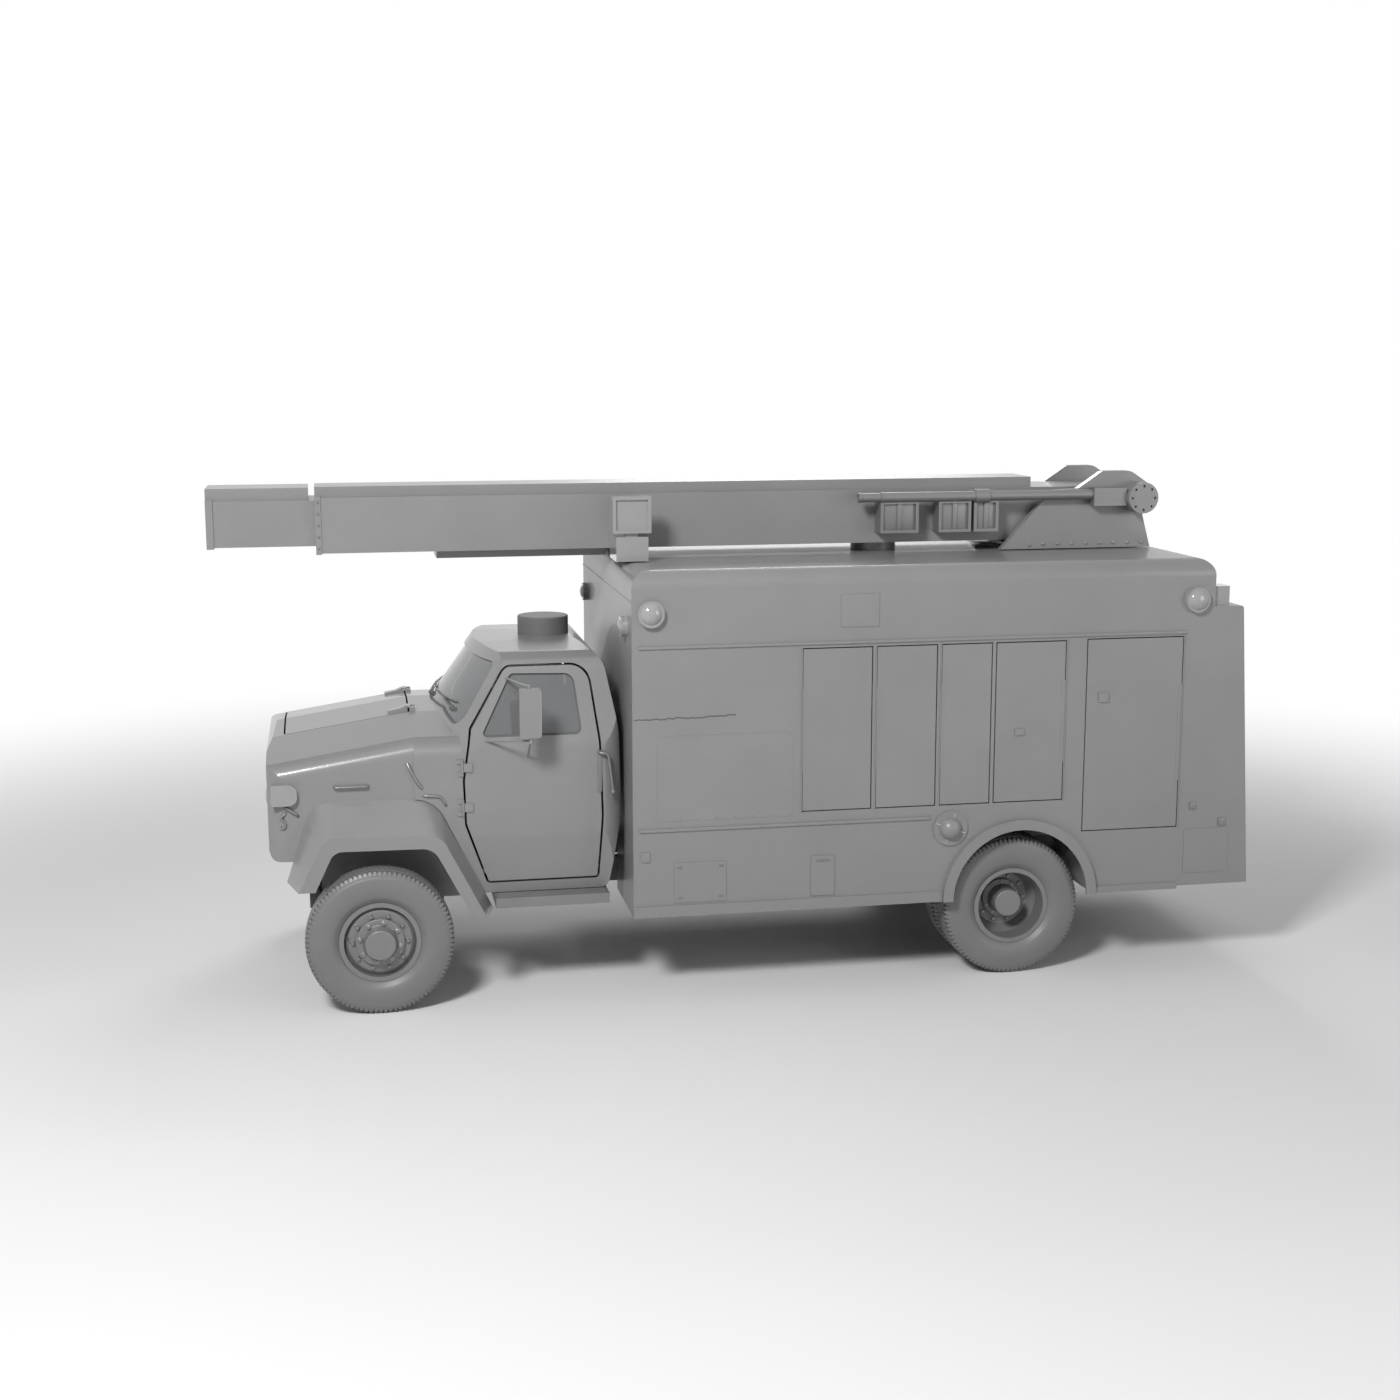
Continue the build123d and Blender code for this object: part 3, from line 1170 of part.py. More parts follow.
with BuildPart() as body_roof:
    block(
        (aft(BODY_FRONT_REACH), aft(BODY_REAR_REACH)),
        (-BODY_HALF_WIDTH, BODY_HALF_WIDTH),
        (CAP_BOTTOM, ROOF_Z),
    )
    fillet(body_roof.faces().sort_by(Axis.Z)[-1].edges(), ROOF_ROUNDING)
    block(
        (aft(BODY_FRONT_REACH + BODY_WALL), aft(BODY_REAR_REACH - BODY_WALL)),
        (-(BODY_HALF_WIDTH - BODY_WALL), BODY_HALF_WIDTH - BODY_WALL),
        (CAP_BOTTOM - 1, ROOF_Z - ROOF_ROUNDING),
        mode=Mode.SUBTRACT,
    )
    block(
        (aft(BODY_FRONT_REACH + ROOF_ROUNDING), aft(BODY_REAR_REACH - ROOF_ROUNDING)),
        (-(BODY_HALF_WIDTH - ROOF_ROUNDING), BODY_HALF_WIDTH - ROOF_ROUNDING),
        (CAP_BOTTOM, ROOF_Z - BODY_WALL),
        mode=Mode.SUBTRACT,
    )
    plate_front, plate_rear, plate_low, plate_high, proud = ROOF_PLATE
    for side in (1, -1):
        block(
            (aft(plate_front), aft(plate_rear)),
            (side * (BODY_HALF_WIDTH - 2), side * (BODY_HALF_WIDTH + proud)),
            (plate_low, plate_high),
        )
    block(
        (aft(BODY_FRONT_REACH - 4), aft(BODY_FRONT_REACH)),
        (-BODY_HALF_WIDTH, BODY_HALF_WIDTH),
        (FRONT_SEAM_Z - 6, FRONT_SEAM_Z + 6),
    )
write(body_roof, "body_roof")

# Body floor on two sills, with a wheel house over each pair of rear wheels
HOUSE_INNER_Y = 600
HOUSE_THICKNESS = 20
FLOOR_REAR_REACH = 6150
FLOOR_BEAM_REACHES = (2400, 3300, 5500)

with BuildPart() as body_floor:
    block(
        (aft(BODY_FRONT_REACH + BODY_WALL), aft(FLOOR_REAR_REACH)),
        (-(BODY_HALF_WIDTH - BODY_WALL), BODY_HALF_WIDTH - BODY_WALL),
        (FLOOR_BOTTOM, FLOOR_TOP),
    )
    for side in (1, -1):
        block(
            (aft(BODY_FRONT_REACH + BODY_WALL), aft(RAIL_REAR_REACH)),
            (side * (RAIL_HALF_SPREAD - RAIL_FLANGE), side * RAIL_HALF_SPREAD),
            (RAIL_TOP, FLOOR_BOTTOM),
        )
        for reach in FLOOR_BEAM_REACHES:
            block(
                (aft(reach), aft(reach + 60)),
                (side * RAIL_HALF_SPREAD, side * (BODY_HALF_WIDTH - BODY_WALL)),
                (FLOOR_BOTTOM - 60, FLOOR_BOTTOM),
            )
        inner_y, outer_y = side * HOUSE_INNER_Y, side * (BODY_HALF_WIDTH - BODY_WALL)
        for y_start, y_end, radius, mode in (
            (inner_y, outer_y, ARCH_CUT_RADIUS + HOUSE_THICKNESS, Mode.ADD),
            (inner_y + side * HOUSE_THICKNESS, outer_y, ARCH_CUT_RADIUS, Mode.SUBTRACT),
        ):
            with BuildSketch(Plane.XZ.offset(-y_start)) as house:
                with Locations((aft(ARCH_REACH), SILL_Z)):
                    Circle(radius)
                with Locations((aft(ARCH_REACH), SILL_Z - radius)):
                    Rectangle(2 * radius, 2 * radius, mode=Mode.SUBTRACT)
            extrude(house.sketch, amount=y_start - y_end, mode=mode)
        block(
            (aft(ARCH_REACH) - ARCH_CUT_RADIUS - 40, aft(ARCH_REACH) + ARCH_CUT_RADIUS + 40),
            (side * (HOUSE_INNER_Y - 1), side * (HOUSE_INNER_Y + HOUSE_THICKNESS)),
            (SILL_Z, FLOOR_BOTTOM),
            mode=Mode.SUBTRACT,
        )
write(body_floor, "body_floor")

# Tail: two sides, a sloping back and the ledge above it
TAIL_SIDE = [
    (TAIL_SEAM_REACH, 610, 0),
    (TAIL_REACH, 610, 0),
    (TAIL_LEDGE_REACH, TAIL_LEDGE_Z, 25),
    (BODY_REAR_REACH, TAIL_LEDGE_Z, 0),
    (BODY_REAR_REACH, CAP_BOTTOM, 0),
    (TAIL_SEAM_REACH, CAP_BOTTOM, 0),
]
TAIL_PLATE = (5785, 6128, 703, 1033, 5)

with BuildPart() as body_tail:
    side_slab(reached(TAIL_SIDE), -BODY_HALF_WIDTH, BODY_HALF_WIDTH)
    side_slab(
        [
            (aft(TAIL_SEAM_REACH - 10), 500, 0),
            (aft(TAIL_REACH - BODY_WALL - 6), 500, 0),
            (aft(TAIL_LEDGE_REACH - BODY_WALL), TAIL_LEDGE_Z - BODY_WALL, 0),
            (aft(BODY_REAR_REACH), TAIL_LEDGE_Z - BODY_WALL, 0),
            (aft(BODY_REAR_REACH), CAP_BOTTOM + 10, 0),
            (aft(TAIL_SEAM_REACH - 10), CAP_BOTTOM + 10, 0),
        ],
        -(BODY_HALF_WIDTH - BODY_WALL),
        BODY_HALF_WIDTH - BODY_WALL,
        mode=Mode.SUBTRACT,
    )
    plate_front, plate_rear, plate_low, plate_high, proud = TAIL_PLATE
    for side in (1, -1):
        block(
            (aft(plate_front), aft(plate_rear)),
            (side * (BODY_HALF_WIDTH - 2), side * (BODY_HALF_WIDTH + proud)),
            (plate_low, plate_high),
        )
write(body_tail, "body_tail")

# Lamps: domes on the body's sides and front face, the ledge lamps, headlamps and the nose's side lamps
# Columns: reach, height, radius
SIDE_DOMES = [(1866, 2713, 92), (5805, 2712, 90)]
# Columns: distance from the middle, height, radius
FRONT_DOMES = [(1015, 2600, 70), (-1015, 2600, 70)]
LEDGE_LAMP = (5952, 6070, 140)
LEDGE_LAMP_Y = (1090, 1235)
SIDE_LAMP = [(-521, 1438, 60), (-696, 1438, 10), (-696, 1583, 10), (-521, 1583, 60)]

with BuildPart() as lamps:
    for side in (1, -1):
        low, high = sorted((side * (NOSE_HALF_WIDTH - 60), side * (NOSE_HALF_WIDTH + 42)))
        side_slab(reached(SIDE_LAMP), low, high)
    add(nose_outer, mode=Mode.SUBTRACT)
    for reach, height, radius in SIDE_DOMES:
        for side in (1, -1):
            with BuildSketch(Plane.XZ.offset(-side * BODY_HALF_WIDTH)) as foot:
                with Locations((aft(reach), height)):
                    Circle(radius)
            extrude(foot.sketch, amount=-side * 0.45 * radius)
    for y, height, radius in FRONT_DOMES:
        with BuildSketch(Plane.YZ.offset(aft(BODY_FRONT_REACH))) as foot:
            with Locations((y, height)):
                Circle(radius)
        extrude(foot.sketch, amount=0.6 * radius)
    lamp_front, lamp_rear, lamp_height = LEDGE_LAMP
    for side in (1, -1):
        block(
            (aft(lamp_front), aft(lamp_rear)),
            (side * LEDGE_LAMP_Y[0], side * LEDGE_LAMP_Y[1]),
            (TAIL_LEDGE_Z, TAIL_LEDGE_Z + lamp_height),
        )
        rod(
            (GRILLE_X - GRILLE_DEPTH, side * HEADLAMP_Y, HEADLAMP_Z),
            (GRILLE_X - 4, side * HEADLAMP_Y, HEADLAMP_Z),
            HEADLAMP_RADIUS,
        )
write(lamps, "lamps")

# Roof fittings: the turret's ring, its pedestal down to the floor, and the round boom rest
PEDESTAL_RADIUS = 220
PEDESTAL_WALL = 16
REST_REACH = 3770
REST_RADIUS = 168

with BuildPart() as roof_fittings:
    rod((aft(SWING_REACH), 0, ROOF_Z), (aft(SWING_REACH), 0, RING_TOP - SEAT_GAP), RING_RADIUS)
    rod((aft(REST_REACH), 0, ROOF_Z), (aft(REST_REACH), 0, BOOM_BOTTOM - SWING_GAP), REST_RADIUS)
    for radius, mode in ((PEDESTAL_RADIUS, Mode.ADD), (PEDESTAL_RADIUS - PEDESTAL_WALL, Mode.SUBTRACT)):
        rod(
            (aft(SWING_REACH), 0, FLOOR_TOP),
            (aft(SWING_REACH), 0, ROOF_Z - BODY_WALL),
            radius,
            mode=mode,
        )
write(roof_fittings, "roof_fittings")

# Turret: a plate on the ring with two cheeks that rise to a hump over the boom's pivot
# Columns: reach, height, rounding
CHEEK_FOOT = ROOF_Z + SWING_GAP
CHEEK_OUTLINE = [
    (4640, CHEEK_FOOT, 0),
    (5030, 3440, 30),
    (5230, 3450, 60),
    (5420, 3578, 90),
    (5640, 3578, 110),
    (5800, 3470, 60),
    (5745, 3250, 30),
    (5812, CHEEK_FOOT, 0),
]

with BuildPart() as turret:
    for side in (1, -1):
        low, high = sorted((side * CHEEK_INNER_Y, side * (CHEEK_INNER_Y + CHEEK_THICKNESS)))
        side_slab(reached(CHEEK_OUTLINE), low, high)
        rod(
            (aft(PIVOT_REACH), low - 1, PIVOT_Z),
            (aft(PIVOT_REACH), high + 1, PIVOT_Z),
            PIVOT_SHAFT_RADIUS + SEAT_GAP,
            mode=Mode.SUBTRACT,
        )
    block(
        (aft(4760), aft(5800)),
        (-CHEEK_INNER_Y, CHEEK_INNER_Y),
        (RING_TOP, RING_TOP + TURRET_PLATE),
    )
write(turret, "turret")

# Outer boom: a hollow box with a ridge, the foot that turns on the pivot shaft, and the tray below
# Columns: reach, height, rounding
BOOM_SIDE = [
    (-BOOM_MOUTH_REACH, BOOM_BOTTOM, 0),
    (5180, BOOM_BOTTOM, 60),
    (PIVOT_REACH + 60, 3290, 60),
    (PIVOT_REACH + 95, PIVOT_Z, 60),
    (PIVOT_REACH + 40, BOOM_TOP, 60),
    (-BOOM_MOUTH_REACH, BOOM_TOP, 0),
]
CAVITY_END_REACH = 5080
MOUTH_COLLAR_LENGTH = 40
MOUTH_COLLAR_PROUD = 8
TRAY = (500, 1720, 165)
DRUM_LENGTH = 145
PAD_LENGTH = 220
PAD_HEIGHT = 60

with BuildPart() as boom_outer:
    side_slab(reached(BOOM_SIDE), -BOOM_HALF_WIDTH, BOOM_HALF_WIDTH)
    block(
        (fore(BOOM_MOUTH_REACH), aft(BOOM_RIDGE_END_REACH)),
        (-BOOM_RIDGE_HALF_WIDTH, BOOM_RIDGE_HALF_WIDTH),
        (BOOM_TOP, BOOM_RIDGE_TOP),
    )
    block(
        (fore(BOOM_MOUTH_REACH), fore(BOOM_MOUTH_REACH - MOUTH_COLLAR_LENGTH)),
        (-(BOOM_HALF_WIDTH + MOUTH_COLLAR_PROUD), BOOM_HALF_WIDTH + MOUTH_COLLAR_PROUD),
        (BOOM_BOTTOM - MOUTH_COLLAR_PROUD, BOOM_TOP + MOUTH_COLLAR_PROUD),
    )
    block(
        (fore(BOOM_MOUTH_REACH + 1), aft(CAVITY_END_REACH)),
        (-(BOOM_HALF_WIDTH - BOOM_WALL), BOOM_HALF_WIDTH - BOOM_WALL),
        (BOOM_BOTTOM + BOOM_WALL, BOOM_TOP - BOOM_WALL),
        mode=Mode.SUBTRACT,
    )
    tray_front, tray_rear, tray_half_width = TRAY
    block(
        (aft(tray_front), aft(tray_rear)),
        (-tray_half_width, tray_half_width),
        (CHEEK_FOOT, BOOM_BOTTOM),
    )
    pad_span = (fore(BOOM_MOUTH_REACH - 60), fore(BOOM_MOUTH_REACH - 60 - PAD_LENGTH))
    for side in (1, -1):
        block(
            pad_span,
            (side * (INNER_HALF_WIDTH - 100), side * (INNER_HALF_WIDTH - 20)),
            (BOOM_BOTTOM + BOOM_WALL, INNER_BOTTOM - SEAT_GAP),
        )
        block(
            pad_span,
            (side * (INNER_HALF_WIDTH + SEAT_GAP), side * (BOOM_HALF_WIDTH - BOOM_WALL)),
            (INNER_BOTTOM + 100, INNER_BOTTOM + 100 + PAD_HEIGHT),
        )
        rod(
            (aft(PIVOT_REACH), side * (CHEEK_INNER_Y - 45), PIVOT_Z),
            (aft(PIVOT_REACH), side * (CHEEK_INNER_Y - SEAT_GAP), PIVOT_Z),
            PIVOT_SHAFT_RADIUS + 25,
        )
        rod(
            (aft(PIVOT_REACH), side * (CHEEK_INNER_Y - 1), PIVOT_Z),
            (aft(PIVOT_REACH), side * (CHEEK_INNER_Y + CHEEK_THICKNESS + 10), PIVOT_Z),
            PIVOT_SHAFT_RADIUS,
        )
        rod(
            (aft(PIVOT_REACH), side * (CHEEK_INNER_Y + CHEEK_THICKNESS + SEAT_GAP), PIVOT_Z),
            (aft(PIVOT_REACH), side * (CHEEK_INNER_Y + CHEEK_THICKNESS + DRUM_LENGTH), PIVOT_Z),
            DRUM_CAP_RADIUS,
        )
write(boom_outer, "boom_outer")

# Supply pipe along the boom's left side, from its open end through the collar to the drum's block
# Columns: front reach, rear reach, outer radius
PIPE_RUNS = [(3528, 3690, 33), (3690, 5330, PIPE_RADIUS), (4412, 4523, 47)]
PIPE_BORE = 27
PIPE_BORE_DEPTH = 200
# Columns: front reach, rear reach
PIPE_BRACKETS = [(3697, 3985), (4138, 4385), (4408, 4595)]
BRACKET_LOW = 3150
BRACKET_WALL = 22

with BuildPart() as boom_pipe:
    for front, rear, radius in PIPE_RUNS:
        rod((aft(front), PIPE_Y, PIPE_Z), (aft(rear), PIPE_Y, PIPE_Z), radius)
    block(
        (aft(5320), aft(PIVOT_REACH - DRUM_CAP_RADIUS)),
        (CHEEK_INNER_Y + CHEEK_THICKNESS + 5, PIPE_Y + 52),
        (PIPE_Z - 84, PIPE_Z + 48),
    )
    for front, rear in PIPE_BRACKETS:
        block(
            (aft(front), aft(rear)),
            (BOOM_HALF_WIDTH, PIPE_Y + 10),
            (BRACKET_LOW, PIPE_Z - PIPE_RADIUS + 12),
        )
        block(
            (aft(front + BRACKET_WALL), aft(rear - BRACKET_WALL)),
            (BOOM_HALF_WIDTH + BRACKET_WALL, PIPE_Y + 20),
            (BRACKET_LOW + BRACKET_WALL, PIPE_Z - PIPE_RADIUS - 12),
            mode=Mode.SUBTRACT,
        )
    rod(
        (aft(3527), PIPE_Y, PIPE_Z),
        (aft(3527 + PIPE_BORE_DEPTH), PIPE_Y, PIPE_Z),
        PIPE_BORE,
        mode=Mode.SUBTRACT,
    )
write(boom_pipe, "boom_pipe")

# Floodlights: a block on each side of the boom that carries a square lamp facing outwards
FLOOD_BLOCK = (1722, 1950, 3180)
FLOOD_OUTER_Y = 680
FLOOD_LAMP = (1700, 1972, 3205, 3462)
FLOOD_LAMP_DEPTH = 110
FLOOD_BEZEL = 24
FLOOD_RECESS = 18

with BuildPart() as floodlights:
    block_front, block_rear, block_top = FLOOD_BLOCK
    lamp_front, lamp_rear, lamp_low, lamp_high = FLOOD_LAMP
    for side in (1, -1):
        block(
            (aft(block_front), aft(block_rear)),
            (side * BOOM_HALF_WIDTH, side * FLOOD_OUTER_Y),
            (BOOM_BOTTOM, block_top),
        )
        block(
            (aft(block_front), aft(block_rear)),
            (side * (BOOM_HALF_WIDTH + 60), side * FLOOD_OUTER_Y),
            (CHEEK_FOOT, block_top),
        )
        block(
            (aft(block_front + 70), aft(block_rear - 70)),
            (side * (FLOOD_OUTER_Y - 80), side * (FLOOD_OUTER_Y - 30)),
            (block_top, lamp_low),
        )
        block(
            (aft(lamp_front), aft(lamp_rear)),
            (side * (FLOOD_OUTER_Y - FLOOD_LAMP_DEPTH), side * FLOOD_OUTER_Y),
            (lamp_low, lamp_high),
        )
        block(
            (aft(lamp_front + FLOOD_BEZEL), aft(lamp_rear - FLOOD_BEZEL)),
            (side * (FLOOD_OUTER_Y - FLOOD_RECESS), side * (FLOOD_OUTER_Y + 1)),
            (lamp_low + FLOOD_BEZEL, lamp_high - FLOOD_BEZEL),
            mode=Mode.SUBTRACT,
        )
write(floodlights, "floodlights")

# Inner boom: a hollow box that slides out of the outer one, with its cover, collar and drilled tip plate
TIP_COLLAR_LENGTH = 50
TIP_COLLAR_PROUD = 10
TIP_PLATE = 20
TIP_HOLE_SPACING_Y = 360
TIP_HOLE_SPACING_Z = 220
TIP_HOLE_RADIUS = 9
COVER_FRONT_GAP = 45
COVER_TOP = 3526
COVER_HALF_WIDTH = 215
INNER_MIDDLE_Z = (INNER_BOTTOM + INNER_TOP) / 2

with BuildPart() as boom_inner:
    block(
        (fore(BOOM_TIP_REACH), aft(INNER_REAR_REACH)),
        (-INNER_HALF_WIDTH, INNER_HALF_WIDTH),
        (INNER_BOTTOM, INNER_TOP),
    )
    block(
        (fore(BOOM_TIP_REACH), fore(BOOM_TIP_REACH - TIP_COLLAR_LENGTH)),
        (-(INNER_HALF_WIDTH + TIP_COLLAR_PROUD), INNER_HALF_WIDTH + TIP_COLLAR_PROUD),
        (INNER_BOTTOM - TIP_COLLAR_PROUD, INNER_TOP + TIP_COLLAR_PROUD),
    )
    block(
        (fore(BOOM_TIP_REACH), fore(BOOM_MOUTH_REACH + COVER_FRONT_GAP)),
        (-COVER_HALF_WIDTH, COVER_HALF_WIDTH),
        (INNER_TOP, COVER_TOP),
    )
    block(
        (fore(BOOM_TIP_REACH - TIP_PLATE), aft(INNER_REAR_REACH + 1)),
        (-(INNER_HALF_WIDTH - INNER_WALL), INNER_HALF_WIDTH - INNER_WALL),
        (INNER_BOTTOM + INNER_WALL, INNER_TOP - INNER_WALL),
        mode=Mode.SUBTRACT,
    )
    for side in (1, -1):
        block(
            (aft(INNER_REAR_REACH), aft(INNER_REAR_REACH - PAD_LENGTH)),
            (side * (INNER_HALF_WIDTH - 100), side * (INNER_HALF_WIDTH - 20)),
            (INNER_TOP - 2, BOOM_TOP - BOOM_WALL - SEAT_GAP),
        )
    with BuildSketch(Plane.YZ.offset(fore(BOOM_TIP_REACH - TIP_PLATE - 1))):
        with Locations((0, INNER_MIDDLE_Z)):
            with GridLocations(TIP_HOLE_SPACING_Y, TIP_HOLE_SPACING_Z, 2, 2):
                Circle(TIP_HOLE_RADIUS)
    extrude(amount=TIP_PLATE + 2, mode=Mode.SUBTRACT)
write(boom_inner, "boom_inner")
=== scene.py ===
"""Dresses the boom truck: camera and light, materials, tyres, seat, fasteners, seals and small trim."""

import json
import math
import random

import bmesh
import bpy
from mathutils import Matrix, Vector
from mathutils.bvhtree import BVHTree


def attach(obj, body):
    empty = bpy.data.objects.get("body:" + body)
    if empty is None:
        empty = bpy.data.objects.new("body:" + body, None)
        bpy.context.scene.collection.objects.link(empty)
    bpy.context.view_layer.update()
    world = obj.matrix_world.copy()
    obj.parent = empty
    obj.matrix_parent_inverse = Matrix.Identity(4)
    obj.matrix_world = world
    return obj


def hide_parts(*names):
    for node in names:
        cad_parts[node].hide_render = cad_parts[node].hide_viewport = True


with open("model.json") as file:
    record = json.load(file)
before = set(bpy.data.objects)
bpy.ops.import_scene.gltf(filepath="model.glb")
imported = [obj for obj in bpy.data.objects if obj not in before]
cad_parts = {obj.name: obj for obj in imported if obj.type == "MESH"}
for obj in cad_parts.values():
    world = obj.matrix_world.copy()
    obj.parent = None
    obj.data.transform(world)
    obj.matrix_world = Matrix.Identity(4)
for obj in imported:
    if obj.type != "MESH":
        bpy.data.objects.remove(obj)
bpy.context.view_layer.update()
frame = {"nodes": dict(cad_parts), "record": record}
nodes = frame["nodes"]
slots = {entry["node"]: entry["material_slot"] for entry in frame["record"]["subparts"]}

FRONT_AXLE_X = 2.603
REAR_AXLE_X = -1.905
AXLE_Z = 0.505
SIDES = (("left", 1), ("right", -1))


def aft(distance):
    """X of a place this far behind the front axle, in metres."""
    return FRONT_AXLE_X - distance


# Camera

CAMERA_PLACE = (2.8328, 14.1199, 4.4505)
CAMERA_TURN, CAMERA_PITCH, CAMERA_ROLL = 10.7232, 10.1339, -0.1149
LENS_MM = 50
SENSOR_MM = 36


def place_camera():
    """Puts the camera where the photograph was taken from."""
    turn, pitch, roll = (math.radians(angle) for angle in (CAMERA_TURN, CAMERA_PITCH, CAMERA_ROLL))
    forward = Vector(
        (-math.sin(turn) * math.cos(pitch), -math.cos(turn) * math.cos(pitch), -math.sin(pitch))
    )
    right = forward.cross(Vector((0, 0, 1))).normalized()
    up = right.cross(forward)
    rolled_right = right * math.cos(roll) + up * math.sin(roll)
    rolled_up = up * math.cos(roll) - right * math.sin(roll)
    data = bpy.data.cameras.new("camera")
    data.lens = LENS_MM
    data.sensor_width = SENSOR_MM
    camera = bpy.data.objects.new("camera", data)
    bpy.context.scene.collection.objects.link(camera)
    columns = Matrix((rolled_right, rolled_up, -forward)).transposed()
    camera.matrix_world = Matrix.Translation(CAMERA_PLACE) @ columns.to_4x4()
    bpy.context.scene.camera = camera


place_camera()
bpy.context.scene.view_settings.view_transform = "Standard"

# Materials

# A darker colour that surfaces turn to in patches towards the bottom, from the top height down to the full
# height
LOW_TONE_COLOUR = (0.15, 0.145, 0.14, 1)
LOW_TONE_TOP = 1.3
LOW_TONE_FULL = 0.3


def link(tree, source, target):
    """Joins an output to an input."""
    tree.links.new(source, target)


def add_node(tree, kind, **values):
    """A new shader node with its named inputs set."""
    node = tree.nodes.new(kind)
    for name, value in values.items():
        node.inputs[name.replace("_", " ")].default_value = value
    return node


def math_node(tree, operation, first, second):
    """The result of an operation on two values. Each is an output or a float."""
    node = tree.nodes.new("ShaderNodeMath")
    node.operation = operation
    for index, value in enumerate((first, second)):
        if isinstance(value, float):
            node.inputs[index].default_value = value
        else:
            link(tree, value, node.inputs[index])
    return node.outputs["Value"]


def surface(name, colour, rough, metallic=0.0, grain=18.0, vary=0.05, bump=0.06, coat=0.0, low_tone=0.0):
    """A procedural finish: mottled colour, uneven roughness, a fine bump, and patches of a darker colour
    that grow towards the bottom.
    """
    material = bpy.data.materials.new(name)
    material.use_nodes = True
    tree = material.node_tree
    shader = tree.nodes["Principled BSDF"]
    shader.inputs["Metallic"].default_value = metallic
    shader.inputs["Coat Weight"].default_value = coat
    place = tree.nodes.new("ShaderNodeTexCoord")
    broad = add_node(tree, "ShaderNodeTexNoise", Scale=grain / 12, Detail=6.0, Roughness=0.6)
    fine = add_node(tree, "ShaderNodeTexNoise", Scale=grain * 14, Detail=4.0, Roughness=0.55)
    for texture in (broad, fine):
        link(tree, place.outputs["Object"], texture.inputs["Vector"])
    ramp = tree.nodes.new("ShaderNodeValToRGB")
    ramp.color_ramp.elements[0].position = 0.3
    ramp.color_ramp.elements[1].position = 0.72
    low = [max(0.0, channel * (1 - vary)) for channel in colour]
    high = [min(1.0, channel * (1 + vary)) for channel in colour]
    ramp.color_ramp.elements[0].color = (*low, 1)
    ramp.color_ramp.elements[1].color = (*high, 1)
    link(tree, broad.outputs["Fac"], ramp.inputs["Fac"])
    colour_out = ramp.outputs["Color"]
    # Darker towards the bottom: below the top height the colour turns in patches towards the darker colour,
    # most at the full height
    if low_tone:
        geometry = tree.nodes.new("ShaderNodeNewGeometry")
        split = tree.nodes.new("ShaderNodeSeparateXYZ")
        link(tree, geometry.outputs["Position"], split.inputs["Vector"])
        height = tree.nodes.new("ShaderNodeMapRange")
        height.inputs["From Min"].default_value = LOW_TONE_TOP
        height.inputs["From Max"].default_value = LOW_TONE_FULL
        link(tree, split.outputs["Z"], height.inputs["Value"])
        patchy = math_node(tree, "MULTIPLY", height.outputs["Result"], broad.outputs["Fac"])
        share = math_node(tree, "MULTIPLY", patchy, float(low_tone))
        toned_low = tree.nodes.new("ShaderNodeMix")
        toned_low.data_type = "RGBA"
        toned_low.inputs["B"].default_value = LOW_TONE_COLOUR
        link(tree, share, toned_low.inputs["Factor"])
        link(tree, colour_out, toned_low.inputs["A"])
        colour_out = toned_low.outputs["Result"]
    link(tree, colour_out, shader.inputs["Base Color"])
    rough_range = tree.nodes.new("ShaderNodeMapRange")
    rough_range.inputs["To Min"].default_value = max(0.03, rough - 0.07)
    rough_range.inputs["To Max"].default_value = min(1.0, rough + 0.09)
    link(tree, broad.outputs["Fac"], rough_range.inputs["Value"])
    link(tree, rough_range.outputs["Result"], shader.inputs["Roughness"])
    raised = add_node(tree, "ShaderNodeBump", Strength=bump, Distance=0.002)
    link(tree, fine.outputs["Fac"], raised.inputs["Height"])
    link(tree, raised.outputs["Normal"], shader.inputs["Normal"])
    return material


def glass_surface(name, colour, rough, alpha):
    """Tinted glazing that still shows the inside faintly."""
    material = surface(name, colour, rough, vary=0.03, bump=0.01, coat=0.6)
    shader = material.node_tree.nodes["Principled BSDF"]
    shader.inputs["Alpha"].default_value = alpha
    shader.inputs["IOR"].default_value = 1.5
    return material


MATERIALS = {
    "paint": surface("paint", (0.225, 0.225, 0.226), 0.30, coat=0.35, low_tone=0.4),
    "body_paint": surface("body_paint", (0.228, 0.228, 0.229), 0.36, coat=0.2, low_tone=0.4),
    "boom_paint": surface("boom_paint", (0.222, 0.222, 0.223), 0.34, coat=0.2),
    "chassis_steel": surface("chassis_steel", (0.10, 0.10, 0.102), 0.62, metallic=0.2, vary=0.2, bump=0.2),
    "cast_iron": surface("cast_iron", (0.11, 0.11, 0.11), 0.66, metallic=0.3, vary=0.18, bump=0.5),
    "steel_trim": surface("steel_trim", (0.22, 0.22, 0.222), 0.36, metallic=0.5, vary=0.08),
    "pipe_steel": surface("pipe_steel", (0.215, 0.215, 0.217), 0.38, metallic=0.4, vary=0.08),
    "wheel_steel": surface("wheel_steel", (0.21, 0.21, 0.212), 0.42, metallic=0.3, vary=0.1, low_tone=0.4),
    "tyre": surface("tyre", (0.165, 0.165, 0.165), 0.42, vary=0.07, bump=0.2, low_tone=0.3),
    "glass": glass_surface("glass", (0.17, 0.175, 0.18), 0.08, 0.72),
    "dark_plastic": surface("dark_plastic", (0.13, 0.13, 0.13), 0.58, vary=0.06, bump=0.35, grain=40),
    "lamp_plastic": surface("lamp_plastic", (0.27, 0.27, 0.272), 0.16, vary=0.04, bump=0.02, coat=0.8),
    "seat_cover": surface("seat_cover", (0.12, 0.118, 0.115), 0.55, vary=0.12, bump=0.5, grain=60),
}
seal_rubber = surface("seal_rubber", (0.11, 0.11, 0.11), 0.65, vary=0.08, bump=0.3, grain=50)
